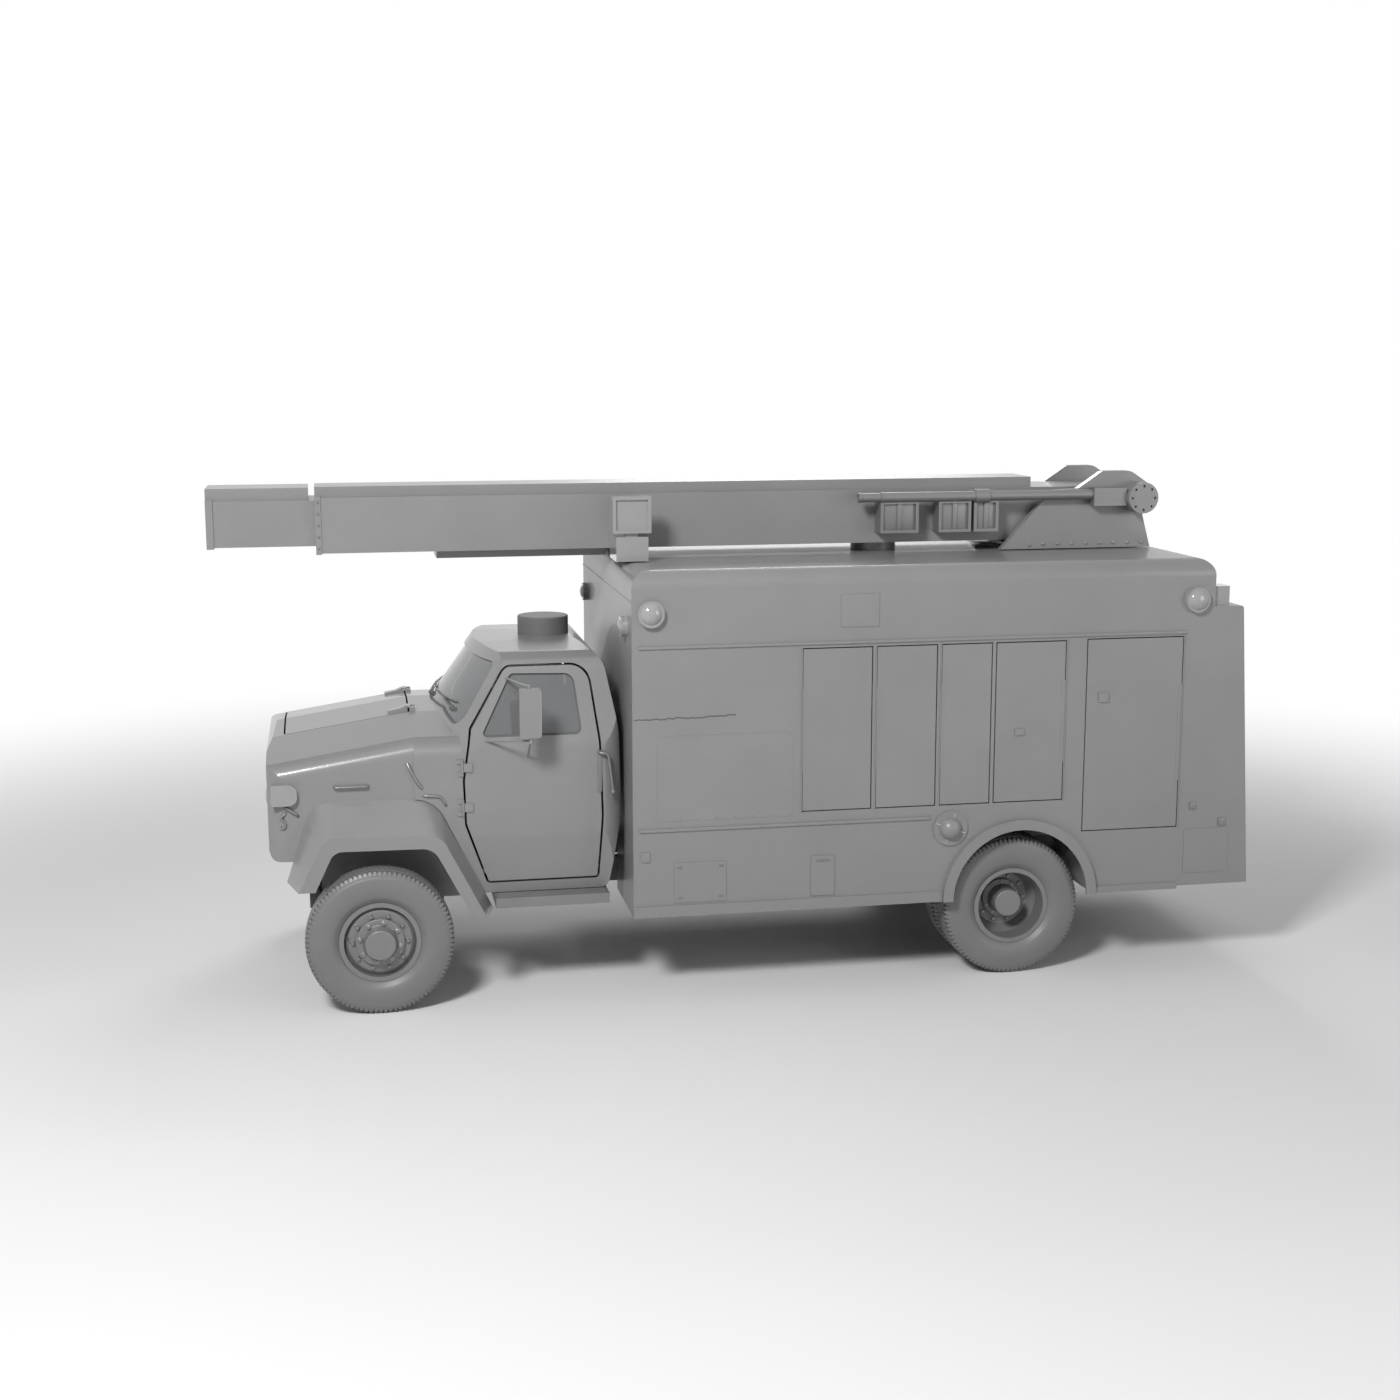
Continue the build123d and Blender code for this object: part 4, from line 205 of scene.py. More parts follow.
mirror_face = surface("mirror_face", (0.62, 0.63, 0.64), 0.05, metallic=1.0, vary=0.02, bump=0.0)
bolt_steel = surface("bolt_steel", (0.24, 0.24, 0.243), 0.34, metallic=0.7, vary=0.12, bump=0.1)
lens_plastic = surface("lens_plastic", (0.30, 0.30, 0.303), 0.10, vary=0.03, bump=0.01, coat=1.0)

for name, node in nodes.items():
    node.data.materials.clear()
    node.data.materials.append(MATERIALS[slots[name]])

# Making meshes


def linked(name, mesh, material):
    """An object of this mesh, in the scene and with its material."""
    piece = bpy.data.objects.new(name, mesh)
    bpy.context.scene.collection.objects.link(piece)
    piece.data.materials.append(material)
    return piece


def smoothed(mesh, weld=None):
    """Faces turned outward and shaded smooth, with points nearer than weld joined first."""
    bm = bmesh.new()
    bm.from_mesh(mesh)
    if weld:
        bmesh.ops.remove_doubles(bm, verts=bm.verts, dist=weld)
    bmesh.ops.recalc_face_normals(bm, faces=bm.faces)
    bm.to_mesh(mesh)
    bm.free()
    mesh.polygons.foreach_set("use_smooth", [True] * len(mesh.polygons))


def ring_faces(rings, steps, closed=False):
    """Four-sided faces between rings of points. closed joins the last ring to the first."""
    faces = []
    for ring in range(rings if closed else rings - 1):
        following = (ring + 1) % rings
        for step in range(steps):
            after = (step + 1) % steps
            faces.append(
                (
                    ring * steps + step,
                    ring * steps + after,
                    following * steps + after,
                    following * steps + step,
                )
            )
    return faces


def end_caps(rings, steps):
    """The two flat faces that close a run of rings."""
    return [tuple(range(steps))[::-1], tuple(range((rings - 1) * steps, rings * steps))]


class Shapes:
    """Collects closed shapes that become one joined mesh."""

    def __init__(self):
        self.vertices = []
        self.faces = []

    def add(self, vertices, faces):
        """Adds a shape whose faces count its own vertices from 0."""
        start = len(self.vertices)
        self.vertices += [Vector(v) for v in vertices]
        self.faces += [tuple(start + index for index in face) for face in faces]

    def turned(self, origin, axis, profile, steps=24, start=0.0):
        """A closed turned shape. profile is (distance along the axis, radius)."""
        axis = Vector(axis).normalized()
        across = axis.orthogonal().normalized()
        other = axis.cross(across)
        vertices = []
        for along, radius in profile:
            for step in range(steps):
                angle = start + 2 * math.pi * step / steps
                spoke = across * math.cos(angle) + other * math.sin(angle)
                vertices.append(Vector(origin) + axis * along + spoke * radius)
        self.add(vertices, ring_faces(len(profile), steps) + end_caps(len(profile), steps))

    def slab(self, low, high, bevel=0.003):
        """A block with rounded edges between two corners."""
        bm = bmesh.new()
        bmesh.ops.create_cube(bm, size=1)
        middle = (Vector(low) + Vector(high)) / 2
        size = Vector(high) - Vector(low)
        for vertex in bm.verts:
            vertex.co = middle + vertex.co * size
        bmesh.ops.bevel(bm, geom=bm.edges[:], offset=bevel, segments=2, affect="EDGES", profile=0.6)
        bm.verts.index_update()
        self.add([v.co.copy() for v in bm.verts], [[v.index for v in f.verts] for f in bm.faces])
        bm.free()

    def tube(self, points, radius, steps=12, closed=False):
        """A round bar along a line of points."""
        points = [Vector(p) for p in points]
        count = len(points)
        vertices = []
        side = None
        for index, point in enumerate(points):
            before = points[index - 1] if index or closed else point
            after = points[(index + 1) % count] if index < count - 1 or closed else point
            way = (after - before).normalized()
            if side is None:
                side = way.orthogonal().normalized()
            side = (side - way * side.dot(way)).normalized()
            other = way.cross(side)
            for step in range(steps):
                angle = 2 * math.pi * step / steps
                vertices.append(point + (side * math.cos(angle) + other * math.sin(angle)) * radius)
        faces = ring_faces(count, steps, closed)
        self.add(vertices, faces if closed else faces + end_caps(count, steps))

    def piece(self, name, body, slot, material, crease=35):
        """The joined mesh as a piece. Edges sharper than crease, in degrees, stay sharp."""
        mesh = bpy.data.meshes.new(name)
        mesh.from_pydata([tuple(v) for v in self.vertices], [], self.faces)
        mesh.validate()
        smoothed(mesh)
        mesh.set_sharp_from_angle(angle=math.radians(crease))
        piece = linked(name, mesh, material)
        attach(piece, body)
        return piece


def bolt_profile(radius, height):
    """A washer, a head and its crowned top."""
    return [
        (-0.004, radius * 1.35),
        (0.0022, radius * 1.35),
        (0.003, radius * 1.25),
        (0.003, radius),
        (height * 0.85, radius),
        (height, radius * 0.8),
    ]


RIVET_PROFILE = [(-0.001, 0.0052), (0.0008, 0.0052), (0.0022, 0.0038), (0.0028, 0.0018)]
RIVET_STEPS = 10


def bolt_ring(shapes, centre, outward, face, ring_radius, count, radius, height, start=0.0):
    """Hexagon heads round a wheel's axis. face is the Y of what they stand on."""
    for index in range(count):
        angle = start + 2 * math.pi * index / count
        place = (
            centre[0] + ring_radius * math.cos(angle),
            face,
            centre[2] + ring_radius * math.sin(angle),
        )
        shapes.turned(place, (0, outward, 0), bolt_profile(radius, height), steps=6, start=angle)


# Tyres: a revolved section with ribs, grooves and notched shoulders

FRONT_TYRE_Y = 1.1135
REAR_TYRE_YS = (1.0815, 0.78)
PITCHES = 92
# Columns: share of a pitch, 1 where the shoulder is notched
PITCH_COLUMNS = ((0.0, 0), (0.62, 0), (0.68, 1), (0.94, 1))
TYRE_CREASE = 28
# Columns: distance from the middle, radius, how deep the notch between two blocks is there
TREAD_HALF = [
    (0.0, 0.5045, 0.0),
    (0.017, 0.5043, 0.0),
    (0.019, 0.4930, 0.0),
    (0.027, 0.4928, 0.0),
    (0.029, 0.5039, 0.0),
    (0.056, 0.5023, 0.0),
    (0.058, 0.4905, 0.0),
    (0.067, 0.4900, 0.0),
    (0.069, 0.5012, 0.0090),
    (0.090, 0.4992, 0.0105),
    (0.098, 0.4978, 0.0110),
    (0.105, 0.4890, 0.0095),
    (0.112, 0.4762, 0.0060),
    (0.115, 0.4690, 0.0),
    (0.1165, 0.4600, 0.0),
    (0.1195, 0.4560, 0.0),
    (0.1215, 0.4450, 0.0),
    (0.1262, 0.4200, 0.0),
    (0.1285, 0.3950, 0.0),
    (0.1290, 0.3750, 0.0),
    (0.1270, 0.3480, 0.0),
    (0.1220, 0.3240, 0.0),
    (0.1150, 0.3080, 0.0),
    (0.1130, 0.3060, 0.0),
    (0.1060, 0.2960, 0.0),
    (0.0990, 0.2860, 0.0),
    (0.0895, 0.2780, 0.0),
    (0.0885, 0.2560, 0.0),
]


def tyre_shape(shapes, centre):
    """One tyre about the Y axis through centre."""
    profile = [(-y, radius, notch) for y, radius, notch in reversed(TREAD_HALF[1:])] + TREAD_HALF
    vertices = []
    for pitch in range(PITCHES):
        for share, deep in PITCH_COLUMNS:
            angle = 2 * math.pi * (pitch + share) / PITCHES
            for across, radius, notch in profile:
                height = radius - notch * deep
                vertices.append(
                    (
                        centre[0] + height * math.cos(angle),
                        centre[1] + across,
                        centre[2] + height * math.sin(angle),
                    )
                )
    shapes.add(vertices, ring_faces(PITCHES * len(PITCH_COLUMNS), len(profile), closed=True))


for side, way in SIDES:
    front = Shapes()
    tyre_shape(front, (FRONT_AXLE_X, way * FRONT_TYRE_Y, AXLE_Z))
    piece = front.piece(
        f"tyre_tread_front_{side}", f"front_wheel_{side}", "tyre", MATERIALS["tyre"], TYRE_CREASE
    )
    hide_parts(f"tyre_front_{side}")
    rear = Shapes()
    for wheel_y in REAR_TYRE_YS:
        tyre_shape(rear, (REAR_AXLE_X, way * wheel_y, AXLE_Z))
    piece = rear.piece(
        f"tyre_tread_rear_{side}", f"rear_wheels_{side}", "tyre", MATERIALS["tyre"], TYRE_CREASE
    )
    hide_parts(f"tyres_rear_{side}")

# Wheel nuts, hub bolts and valves

# Columns: Y of the face, radius of the ring, count, radius of a head, its height, angle of the first
FRONT_NUTS = [(1.1835, 0.187, 10, 0.015, 0.024, 0.0), (1.215, 0.1385, 8, 0.0165, 0.014, 0.2)]
REAR_NUTS = [(0.9427, 0.168, 10, 0.015, 0.024, 0.0), (0.9727, 0.123, 10, 0.0125, 0.014, 0.3)]
# Columns: X from the axle, Y, Z from the axle
VALVE_STEM = [(0.214, 1.172, 0.03), (0.216, 1.196, 0.031), (0.208, 1.212, 0.03)]
VALVE_RADIUS = 0.0045

for side, way in SIDES:
    nuts = Shapes()
    for face, ring_radius, count, radius, height, start in FRONT_NUTS:
        centre = (FRONT_AXLE_X, 0, AXLE_Z)
        bolt_ring(nuts, centre, way, way * face, ring_radius, count, radius, height, start)
    nuts.tube([(FRONT_AXLE_X + x, way * y, AXLE_Z + z) for x, y, z in VALVE_STEM], VALVE_RADIUS, steps=8)
    nuts.piece(f"wheel_nuts_front_{side}", f"front_wheel_{side}", "wheel_steel", bolt_steel)
    nuts = Shapes()
    for face, ring_radius, count, radius, height, start in REAR_NUTS:
        centre = (REAR_AXLE_X, 0, AXLE_Z)
        bolt_ring(nuts, centre, way, way * face, ring_radius, count, radius, height, start)
    nuts.piece(f"wheel_nuts_rear_{side}", f"rear_wheels_{side}", "wheel_steel", bolt_steel)

# Seat: a bench on a plinth, its base and back crowned and sewn into channels

SEAT_HALF_WIDTH = 0.815
SEAT_CHANNELS = 9
ALONG_CELLS, ACROSS_CELLS = 14, 88
# How square a cushion's long and short edges are, how round it is there, and how wide its channels are
LONG_EDGE_POWER, SHORT_EDGE_POWER = 4.5, 26
EDGE_ROUNDING = 1 / 2.6
CHANNEL_POWER = 0.45
CUSHION_WELD = 0.0004


def cushion(name, low, high, lean, crown):
    """A crowned cushion between two corners, sewn across. lean moves its top back, and 0 lays it flat."""
    size = Vector(high) - Vector(low)
    vertices, faces = [], []
    for layer in (1, -1):
        for i in range(ALONG_CELLS + 1):
            for j in range(ACROSS_CELLS + 1):
                u = 2 * i / ALONG_CELLS - 1
                v = 2 * j / ACROSS_CELLS - 1
                edge_u = (1 - abs(u) ** LONG_EDGE_POWER) ** EDGE_ROUNDING
                edge_v = (1 - abs(v) ** SHORT_EDGE_POWER) ** EDGE_ROUNDING
                wave = abs(math.sin(math.pi * SEAT_CHANNELS * (v + 1) / 2)) ** CHANNEL_POWER
                channel = 1 - crown * (1 - wave)
                height = layer * edge_u * edge_v * (channel if layer > 0 else 1)
                y = low[1] + size.y * (v + 1) / 2
                if lean:
                    x = low[0] + size.x * (0.5 + height / 2) - lean * (u + 1) / 2
                    z = low[2] + size.z * (u + 1) / 2
                else:
                    x = low[0] + size.x * (u + 1) / 2
                    z = low[2] + size.z * (0.5 + height / 2)
                vertices.append((x, y, z))
    stride = ACROSS_CELLS + 1
    sheet = (ALONG_CELLS + 1) * stride
    for i in range(ALONG_CELLS):
        for j in range(ACROSS_CELLS):
            top = (
                i * stride + j,
                i * stride + j + 1,
                (i + 1) * stride + j + 1,
                (i + 1) * stride + j,
            )
            faces.append(top)
            faces.append(tuple(sheet + index for index in reversed(top)))
    mesh = bpy.data.meshes.new(name)
    mesh.from_pydata(vertices, [], faces)
    smoothed(mesh, weld=CUSHION_WELD)
    piece = linked(name, mesh, MATERIALS["seat_cover"])
    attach(piece, "truck")


plinth = Shapes()
plinth.slab((aft(1.53), -0.78, 0.906), (aft(1.07), 0.78, 1.235), 0.012)
plinth_piece = plinth.piece("seat_plinth", "truck", "dark_plastic", MATERIALS["dark_plastic"])
cushion("seat_base", (aft(1.54), -SEAT_HALF_WIDTH, 1.225), (aft(1.03), SEAT_HALF_WIDTH, 1.395), 0, 0.16)
cushion("seat_back", (aft(1.515), -SEAT_HALF_WIDTH, 1.385), (aft(1.385), SEAT_HALF_WIDTH, 1.895), 0.07, 0.3)
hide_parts("bench_seat")

# Window seals: a rubber bead round each pane, on the edges of the CAD glass

PANE_WELD = 0.0002
PANE_EDGE_ANGLE = 60
FEWEST_LOOP_POINTS = 8
SEAL_SPACING = 0.012
SEAL_RADIUS = 0.0105


def pane_loops(node):
    """The closed loops of a pane's sharp edges."""
    bm = bmesh.new()
    bm.from_mesh(node.data)
    bmesh.ops.remove_doubles(bm, verts=bm.verts, dist=PANE_WELD)
    neighbours = {}
    for edge in bm.edges:
        if len(edge.link_faces) != 2 or edge.calc_face_angle() <= math.radians(PANE_EDGE_ANGLE):
            continue
        a, b = (v.index for v in edge.verts)
        neighbours.setdefault(a, []).append(b)
        neighbours.setdefault(b, []).append(a)
    places = {v.index: v.co.copy() for v in bm.verts}
    bm.free()
    loops, seen = [], set()
    for start in sorted(neighbours):
        if start in seen or len(neighbours[start]) != 2:
            continue
        loop, previous, current = [start], None, start
        seen.add(start)
        while True:
            onward = [n for n in neighbours[current] if n != previous and n not in seen]
            if not onward:
                break
            previous, current = current, onward[0]
            seen.add(current)
            loop.append(current)
        if len(loop) > FEWEST_LOOP_POINTS:
            loops.append([places[index] for index in loop])
    return loops


for node_name, body in (
    ("door_glass_left", "cab_door_left"),
    ("door_glass_right", "cab_door_right"),
    ("cab_glass", "truck"),
):
    seals = Shapes()
    for loop in pane_loops(nodes[node_name]):
        spaced = [loop[0]]
        for point in loop[1:]:
            if (point - spaced[-1]).length > SEAL_SPACING:
                spaced.append(point)
        if (spaced[-1] - spaced[0]).length < SEAL_SPACING:
            spaced.pop()
        seals.tube(spaced, SEAL_RADIUS, steps=8, closed=True)
    if seals.faces:
        seals.piece(f"{node_name}_seal", body, "dark_plastic", seal_rubber, 60)

# Cab trim: door handles, hood pulls, straps, hooks and mirror glass


def rounded_run(corners, radius, steps=5):
    """A line of points with its corners rounded."""
    corners = [Vector(c) for c in corners]
    points = [corners[0]]
    for before, corner, after in zip(corners, corners[1:], corners[2:]):
        start = corner + (before - corner).normalized() * radius
        end = corner + (after - corner).normalized() * radius
        for step in range(steps + 1):
            t = step / steps
            points.append(start * (1 - t) ** 2 + corner * 2 * t * (1 - t) + end * t**2)
    points.append(corners[-1])
    return points


# Each bar's corners as reach, Y and height, then the radius of its bends and its own
HANDLE_BAR = (
    [
        (1.538, 1.0, 1.722),
        (1.538, 1.034, 1.722),
        (1.602, 1.034, 1.716),
        (1.634, 1.034, 1.45),
        (1.631, 1.026, 1.436),
    ],
    0.03,
    0.011,
)
HANDLE_BALL = [(0.0, 0.010), (0.003, 0.016), (0.012, 0.020), (0.024, 0.016), (0.028, 0.007)]
HOOD_PULL = (
    [(-0.274, 0.978, 1.548), (-0.274, 1.012, 1.548), (-0.046, 1.012, 1.548), (-0.046, 0.978, 1.548)],
    0.02,
    0.008,
)
HOOD_STRAP = (
    [(0.222, 0.982, 1.693), (0.235, 1.004, 1.66), (0.285, 1.008, 1.56), (0.318, 1.0, 1.518)],
    0.02,
    0.012,
)
COWL_HANDLE = (
    [
        (0.318, 0.990, 1.462),
        (0.335, 1.004, 1.464),
        (0.44, 1.004, 1.455),
        (0.475, 1.004, 1.40),
        (0.480, 0.992, 1.385),
    ],
    0.02,
    0.011,
)
NOSE_BAR = (
    [(-0.600, 0.975, 1.425), (-0.596, 0.994, 1.418), (-0.530, 0.996, 1.372), (-0.518, 0.978, 1.352)],
    0.012,
    0.011,
)
NOSE_HOOK = (
    [
        (-0.598, 0.970, 1.392),
        (-0.604, 0.992, 1.378),
        (-0.640, 0.992, 1.350),
        (-0.606, 0.992, 1.318),
        (-0.604, 0.992, 1.286),
        (-0.632, 0.990, 1.272),
        (-0.642, 0.972, 1.290),
    ],
    0.014,
    0.009,
)


def add_bar(shapes, bar, way):
    """A bent round bar on the left, way 1, or the right, way -1."""
    corners, bend, radius = bar
    shapes.tube(rounded_run([(aft(reach), way * y, z) for reach, y, z in corners], bend), radius)


for side, way in SIDES:
    handle = Shapes()
    low, high = sorted((way * 0.997, way * 1.007))
    handle.slab((aft(1.560), low, 1.44), (aft(1.528), high, 1.735), 0.003)
    add_bar(handle, HANDLE_BAR, way)
    handle.turned((aft(1.633), way * 1.016, 1.446), (0, way, 0), HANDLE_BALL, steps=16)
    handle.piece(f"door_handle_{side}", f"cab_door_{side}", "steel_trim", MATERIALS["steel_trim"])
    bars = Shapes()
    for bar in (HOOD_PULL, HOOD_STRAP, COWL_HANDLE, NOSE_BAR, NOSE_HOOK):
        add_bar(bars, bar, way)
    bars.piece(f"grab_bars_{side}", "truck", "steel_trim", MATERIALS["steel_trim"])
    glass = Shapes()
    low, high = sorted((way * 1.232, way * 1.268))
    glass.slab((aft(1.1175), low, 1.905), (aft(1.1135), high, 2.215), 0.0015)
    glass.piece(f"mirror_glass_{side}", f"cab_door_{side}", "steel_trim", mirror_face)

# Body trim: hatch fasteners, rivets, the split in the left side's upper panel and step ribs

BODY_FACE = 1.263
FASTENER_TALL = 0.010
# Columns: reach, height, length along X, how proud the panel is
FASTENERS = [
    (2.06, 0.94, 0.034, 0.006),
    (2.35, 0.94, 0.034, 0.006),
    (2.06, 0.72, 0.034, 0.006),
    (2.35, 0.72, 0.034, 0.006),
    (3.08, 0.94, 0.10, 0.008),
]
RIVET_SPACING = 0.12
# Columns: first reach, last reach, height, how proud the panel is
RIVET_ROWS = [
    (1.80, 5.70, 2.481, 0.012),
    (1.80, 3.84, 1.208, 0.012),
    (1.76, 3.94, 0.629, 0.010),
    (1.93, 2.84, 1.285, 0.003),
    (1.93, 2.84, 1.851, 0.003),
]

for side, way in SIDES:
    trim = Shapes()
    for reach, height, length, proud in FASTENERS:
        low, high = sorted((way * (BODY_FACE + proud - 0.002), way * (BODY_FACE + proud + 0.006)))
        trim.slab(
            (aft(reach + length / 2), low, height - FASTENER_TALL / 2),
            (aft(reach - length / 2), high, height + FASTENER_TALL / 2),
            0.002,
        )
    for first, last, height, proud in RIVET_ROWS:
        count = int((last - first) / RIVET_SPACING) + 1
        for index in range(count):
            reach = first + (last - first) * index / (count - 1)
            place = (aft(reach), way * (BODY_FACE + proud), height)
            trim.turned(place, (0, way, 0), RIVET_PROFILE, steps=RIVET_STEPS)
    trim.piece(f"body_fasteners_{side}", "truck", "body_paint", bolt_steel)

SPLIT_POINTS = 40
SPLIT_START, SPLIT_LENGTH = 1.745, 0.71
SPLIT_HEIGHT, SPLIT_RISE, SPLIT_JITTER = 1.985, 0.012, 0.006

random.seed(11)
split = Shapes()
points = []
for index in range(SPLIT_POINTS):
    share = index / (SPLIT_POINTS - 1)
    height = SPLIT_HEIGHT + SPLIT_RISE * share + random.uniform(-SPLIT_JITTER, SPLIT_JITTER)
    points.append((aft(SPLIT_START + share * SPLIT_LENGTH), BODY_FACE - 0.0005, height))
split.tube(points, 0.0045, steps=6)
split.piece("panel_split", "truck", "body_paint", seal_rubber, 60)

STEP_RIBS = 9
RIB_START, RIB_PITCH, RIB_WIDTH = 0.72, 0.042, 0.014

for side, way in SIDES:
    ribs = Shapes()
    for index in range(STEP_RIBS):
        across = RIB_START + index * RIB_PITCH
        low, high = sorted((way * across, way * (across + RIB_WIDTH)))
        ribs.slab((aft(1.575), low, 0.7385), (aft(0.82), high, 0.7435), 0.0015)
    ribs.piece(f"step_ribs_{side}", "truck", "steel_trim", MATERIALS["steel_trim"])

# Boom trim: bolts on the drum caps and the mouth, the pipe's collars and plates, and the turret's feet

PIVOT_REACH, PIVOT_Z = 5.69, 3.383
PIVOT_CAP_Y = 0.5450
MOUTH_REACH, MOUTH_BOLT_Y = -0.32, 0.308
MOUTH_BOLT_HEIGHTS = (3.11, 3.19, 3.27, 3.35, 3.43)
SMALL_BOLT = bolt_profile(0.009, 0.009)

caps = Shapes()
for way in (1, -1):
    bolt_ring(caps, (aft(PIVOT_REACH), 0, PIVOT_Z), way, way * PIVOT_CAP_Y, 0.088, 8, 0.009, 0.0)
for way in (1, -1):
    for height in MOUTH_BOLT_HEIGHTS:
        caps.turned((aft(MOUTH_REACH), way * MOUTH_BOLT_Y, height), (0, way, 0), SMALL_BOLT, steps=6)
caps.piece("boom_bolts", "boom", "boom_paint", bolt_steel)

BOOM_PIPE_Y, BOOM_PIPE_Z = 0.45, 3.41
COLLAR_CHAMFER = 0.004
# Columns: first reach, last reach, radius
PIPE_COLLARS = [(3.532, 3.552, 0.0375), (3.690, 3.704, 0.0405), (4.414, 4.521, 0.0515)]

collars = Shapes()
for first, last, radius in PIPE_COLLARS:
    collars.turned(
        (aft(last), BOOM_PIPE_Y, BOOM_PIPE_Z),
        (1, 0, 0),
        [
            (0.0, radius - COLLAR_CHAMFER),
            (COLLAR_CHAMFER, radius),
            (last - first - COLLAR_CHAMFER, radius),
            (last - first, radius - COLLAR_CHAMFER),
        ],
        steps=32,
    )
collars.piece("pipe_collars", "boom", "pipe_steel", MATERIALS["pipe_steel"])

# The pipe's brackets, as first and last reach
BRACKETS = [(3.697, 3.985), (4.138, 4.385), (4.408, 4.595)]
BRACKET_INSET = 0.02
STRIP_HALF_WIDTH = 0.016

panels = Shapes()
for first, last in BRACKETS:
    panels.slab((aft(last - BRACKET_INSET), 0.415, 3.168), (aft(first + BRACKET_INSET), 0.438, 3.372), 0.002)
    middle = (first + last) / 2
    rear, front = aft(middle + STRIP_HALF_WIDTH), aft(middle - STRIP_HALF_WIDTH)
    panels.slab((rear, 0.436, 3.172), (front, 0.452, 3.366), 0.003)
panels.piece("bracket_panels", "boom", "pipe_steel", MATERIALS["pipe_steel"])

FOOT_BOLTS = 9
FOOT_START, FOOT_PITCH = 4.86, 0.11

feet = Shapes()
for way in (1, -1):
    for index in range(FOOT_BOLTS):
        height = 3.045 if index else 3.04
        place = (aft(FOOT_START + index * FOOT_PITCH), way * 0.400, height)
        feet.turned(place, (0, way, 0), bolt_profile(0.012, 0.011), steps=6)
feet.piece("turret_bolts", "turret", "boom_paint", bolt_steel)

# Lamp lenses, their bezels and the filler's cap with its four arms

BEZEL_HEIGHT = 0.009


def dome_profile(radius, height, steps=10):
    """A bezel and the dome that rises from it."""
    profile = [
        (-0.004, radius * 1.08),
        (0.006, radius * 1.08),
        (BEZEL_HEIGHT, radius * 1.04),
        (BEZEL_HEIGHT, radius),
    ]
    for step in range(1, steps + 1):
        angle = math.pi / 2 * step / steps
        rise = BEZEL_HEIGHT + (height - BEZEL_HEIGHT) * math.sin(angle)
        profile.append((rise, max(0.002, radius * math.cos(angle))))
    return profile


FILLER_X, FILLER_Z = aft(4.009), 1.125
FILLER_ARM_ANGLES = (0.35, 1.9, 3.5, 5.0)
# Columns: X, Y, height, whether it faces forward, radius, depth, steps round
DOMES = [
    (-3.202, BODY_FACE, 2.712, False, 0.084, 0.074, 40),
    (0.737, BODY_FACE, 2.713, False, 0.084, 0.074, 40),
    (0.867, 1.015, 2.60, True, 0.066, 0.062, 36),
    (3.318, 0.52, 1.42, True, 0.092, 0.034, 48),
    (FILLER_X, 1.268, FILLER_Z, False, 0.068, 0.070, 36),
]

lenses = Shapes()
for way in (1, -1):
    for x, y, z, forward, radius, depth, steps in DOMES:
        axis = (1, 0, 0) if forward else (0, way, 0)
        lenses.turned((x, way * y, z), axis, dome_profile(radius, depth), steps=steps)
    for turn in FILLER_ARM_ANGLES:
        middle = Vector((FILLER_X, way * 1.275, FILLER_Z))
        outward = Vector((math.cos(turn), 0, math.sin(turn)))
        lenses.tube([middle + outward * 0.07, middle + outward * 0.115], 0.006, steps=8)
lenses.piece("lamp_lenses", "truck", "lamp_plastic", lens_plastic)


def tree_of(name):
    """A search tree of a CAD node's faces at rest."""
    mesh = nodes[name].data
    return BVHTree.FromPolygons(
        [vertex.co.copy() for vertex in mesh.vertices], [list(face.vertices) for face in mesh.polygons]
    )


def hit(tree, origin, direction, off):
    """The place this far off the surface that a ray meets, and the surface's outward direction."""
    place, normal, _, _ = tree.ray_cast(Vector(origin), Vector(direction))
    if place is None:
        raise RuntimeError(f"no surface from {origin}")
    if normal.dot(Vector(direction)) > 0:
        normal = -normal
    return place + normal * off, normal


# Windscreen wipers

AHEAD = 4
BLADE_POINTS, ARM_POINTS = 13, 7
BLADE_HEIGHT = 2.035
ARM_FOOT_HEIGHT = 1.995
WIPER_RADIUS = 0.0065
# Columns: Y of the pivot, Y of the blade's far end
WIPER_SPANS = [(0.60, 0.06), (-0.06, -0.60)]
WIPER_BOSS = [(0, 0.018), (0.03, 0.018), (0.036, 0.011)]

screen = tree_of("cab_glass")
wipers = Shapes()
for pivot_y, tip_y in WIPER_SPANS:
    blade, arm = [], []
    for step in range(BLADE_POINTS):
        y = pivot_y + (tip_y - pivot_y) * step / (BLADE_POINTS - 1)
        place, _ = hit(screen, (AHEAD, y, BLADE_HEIGHT), (-1, 0, 0), 0.010)
        blade.append(place)
    wipers.tube(blade, WIPER_RADIUS, steps=8)
    for step in range(ARM_POINTS):
        share = step / (ARM_POINTS - 1)
        y = pivot_y + (tip_y - pivot_y) * share * 0.5
        z = ARM_FOOT_HEIGHT + (BLADE_HEIGHT - ARM_FOOT_HEIGHT) * share
        place, _ = hit(screen, (AHEAD, y, z), (-1, 0, 0), 0.024 - 0.01 * share)
        arm.append(place)
    wipers.tube(arm, WIPER_RADIUS, steps=8)
    wipers.turned(arm[0] - Vector((0.02, 0, 0.02)), (0.7, 0, 0.7), WIPER_BOSS, 16)
wipers.piece("wipers", "truck", "dark_plastic", MATERIALS["dark_plastic"])

# Tail: lamps, grab rails, a bare plate, rivets and the small plates by the sloping back

BEHIND = -5
LAMP_Y = 1.12
TAIL_LAMP_HEIGHTS = (1.02, 1.15, 1.28)
LAMP_BASE = [(-0.006, 0.058), (0.005, 0.058), (0.007, 0.054)]
RAIL_HEIGHTS = (1.55, 2.15)
RAIL_STANDOFF = 0.038
RAIL_FLANGE = [(0.0, 0.026), (0.007, 0.026), (0.009, 0.023)]
PLATE_HALF_WIDTH = 0.17
TAIL_RIVET_HEIGHTS = (0.74, 1.42, 2.56)
TAIL_RIVETS = 21
TAIL_RIVET_START, TAIL_RIVET_PITCH = -1.15, 0.115
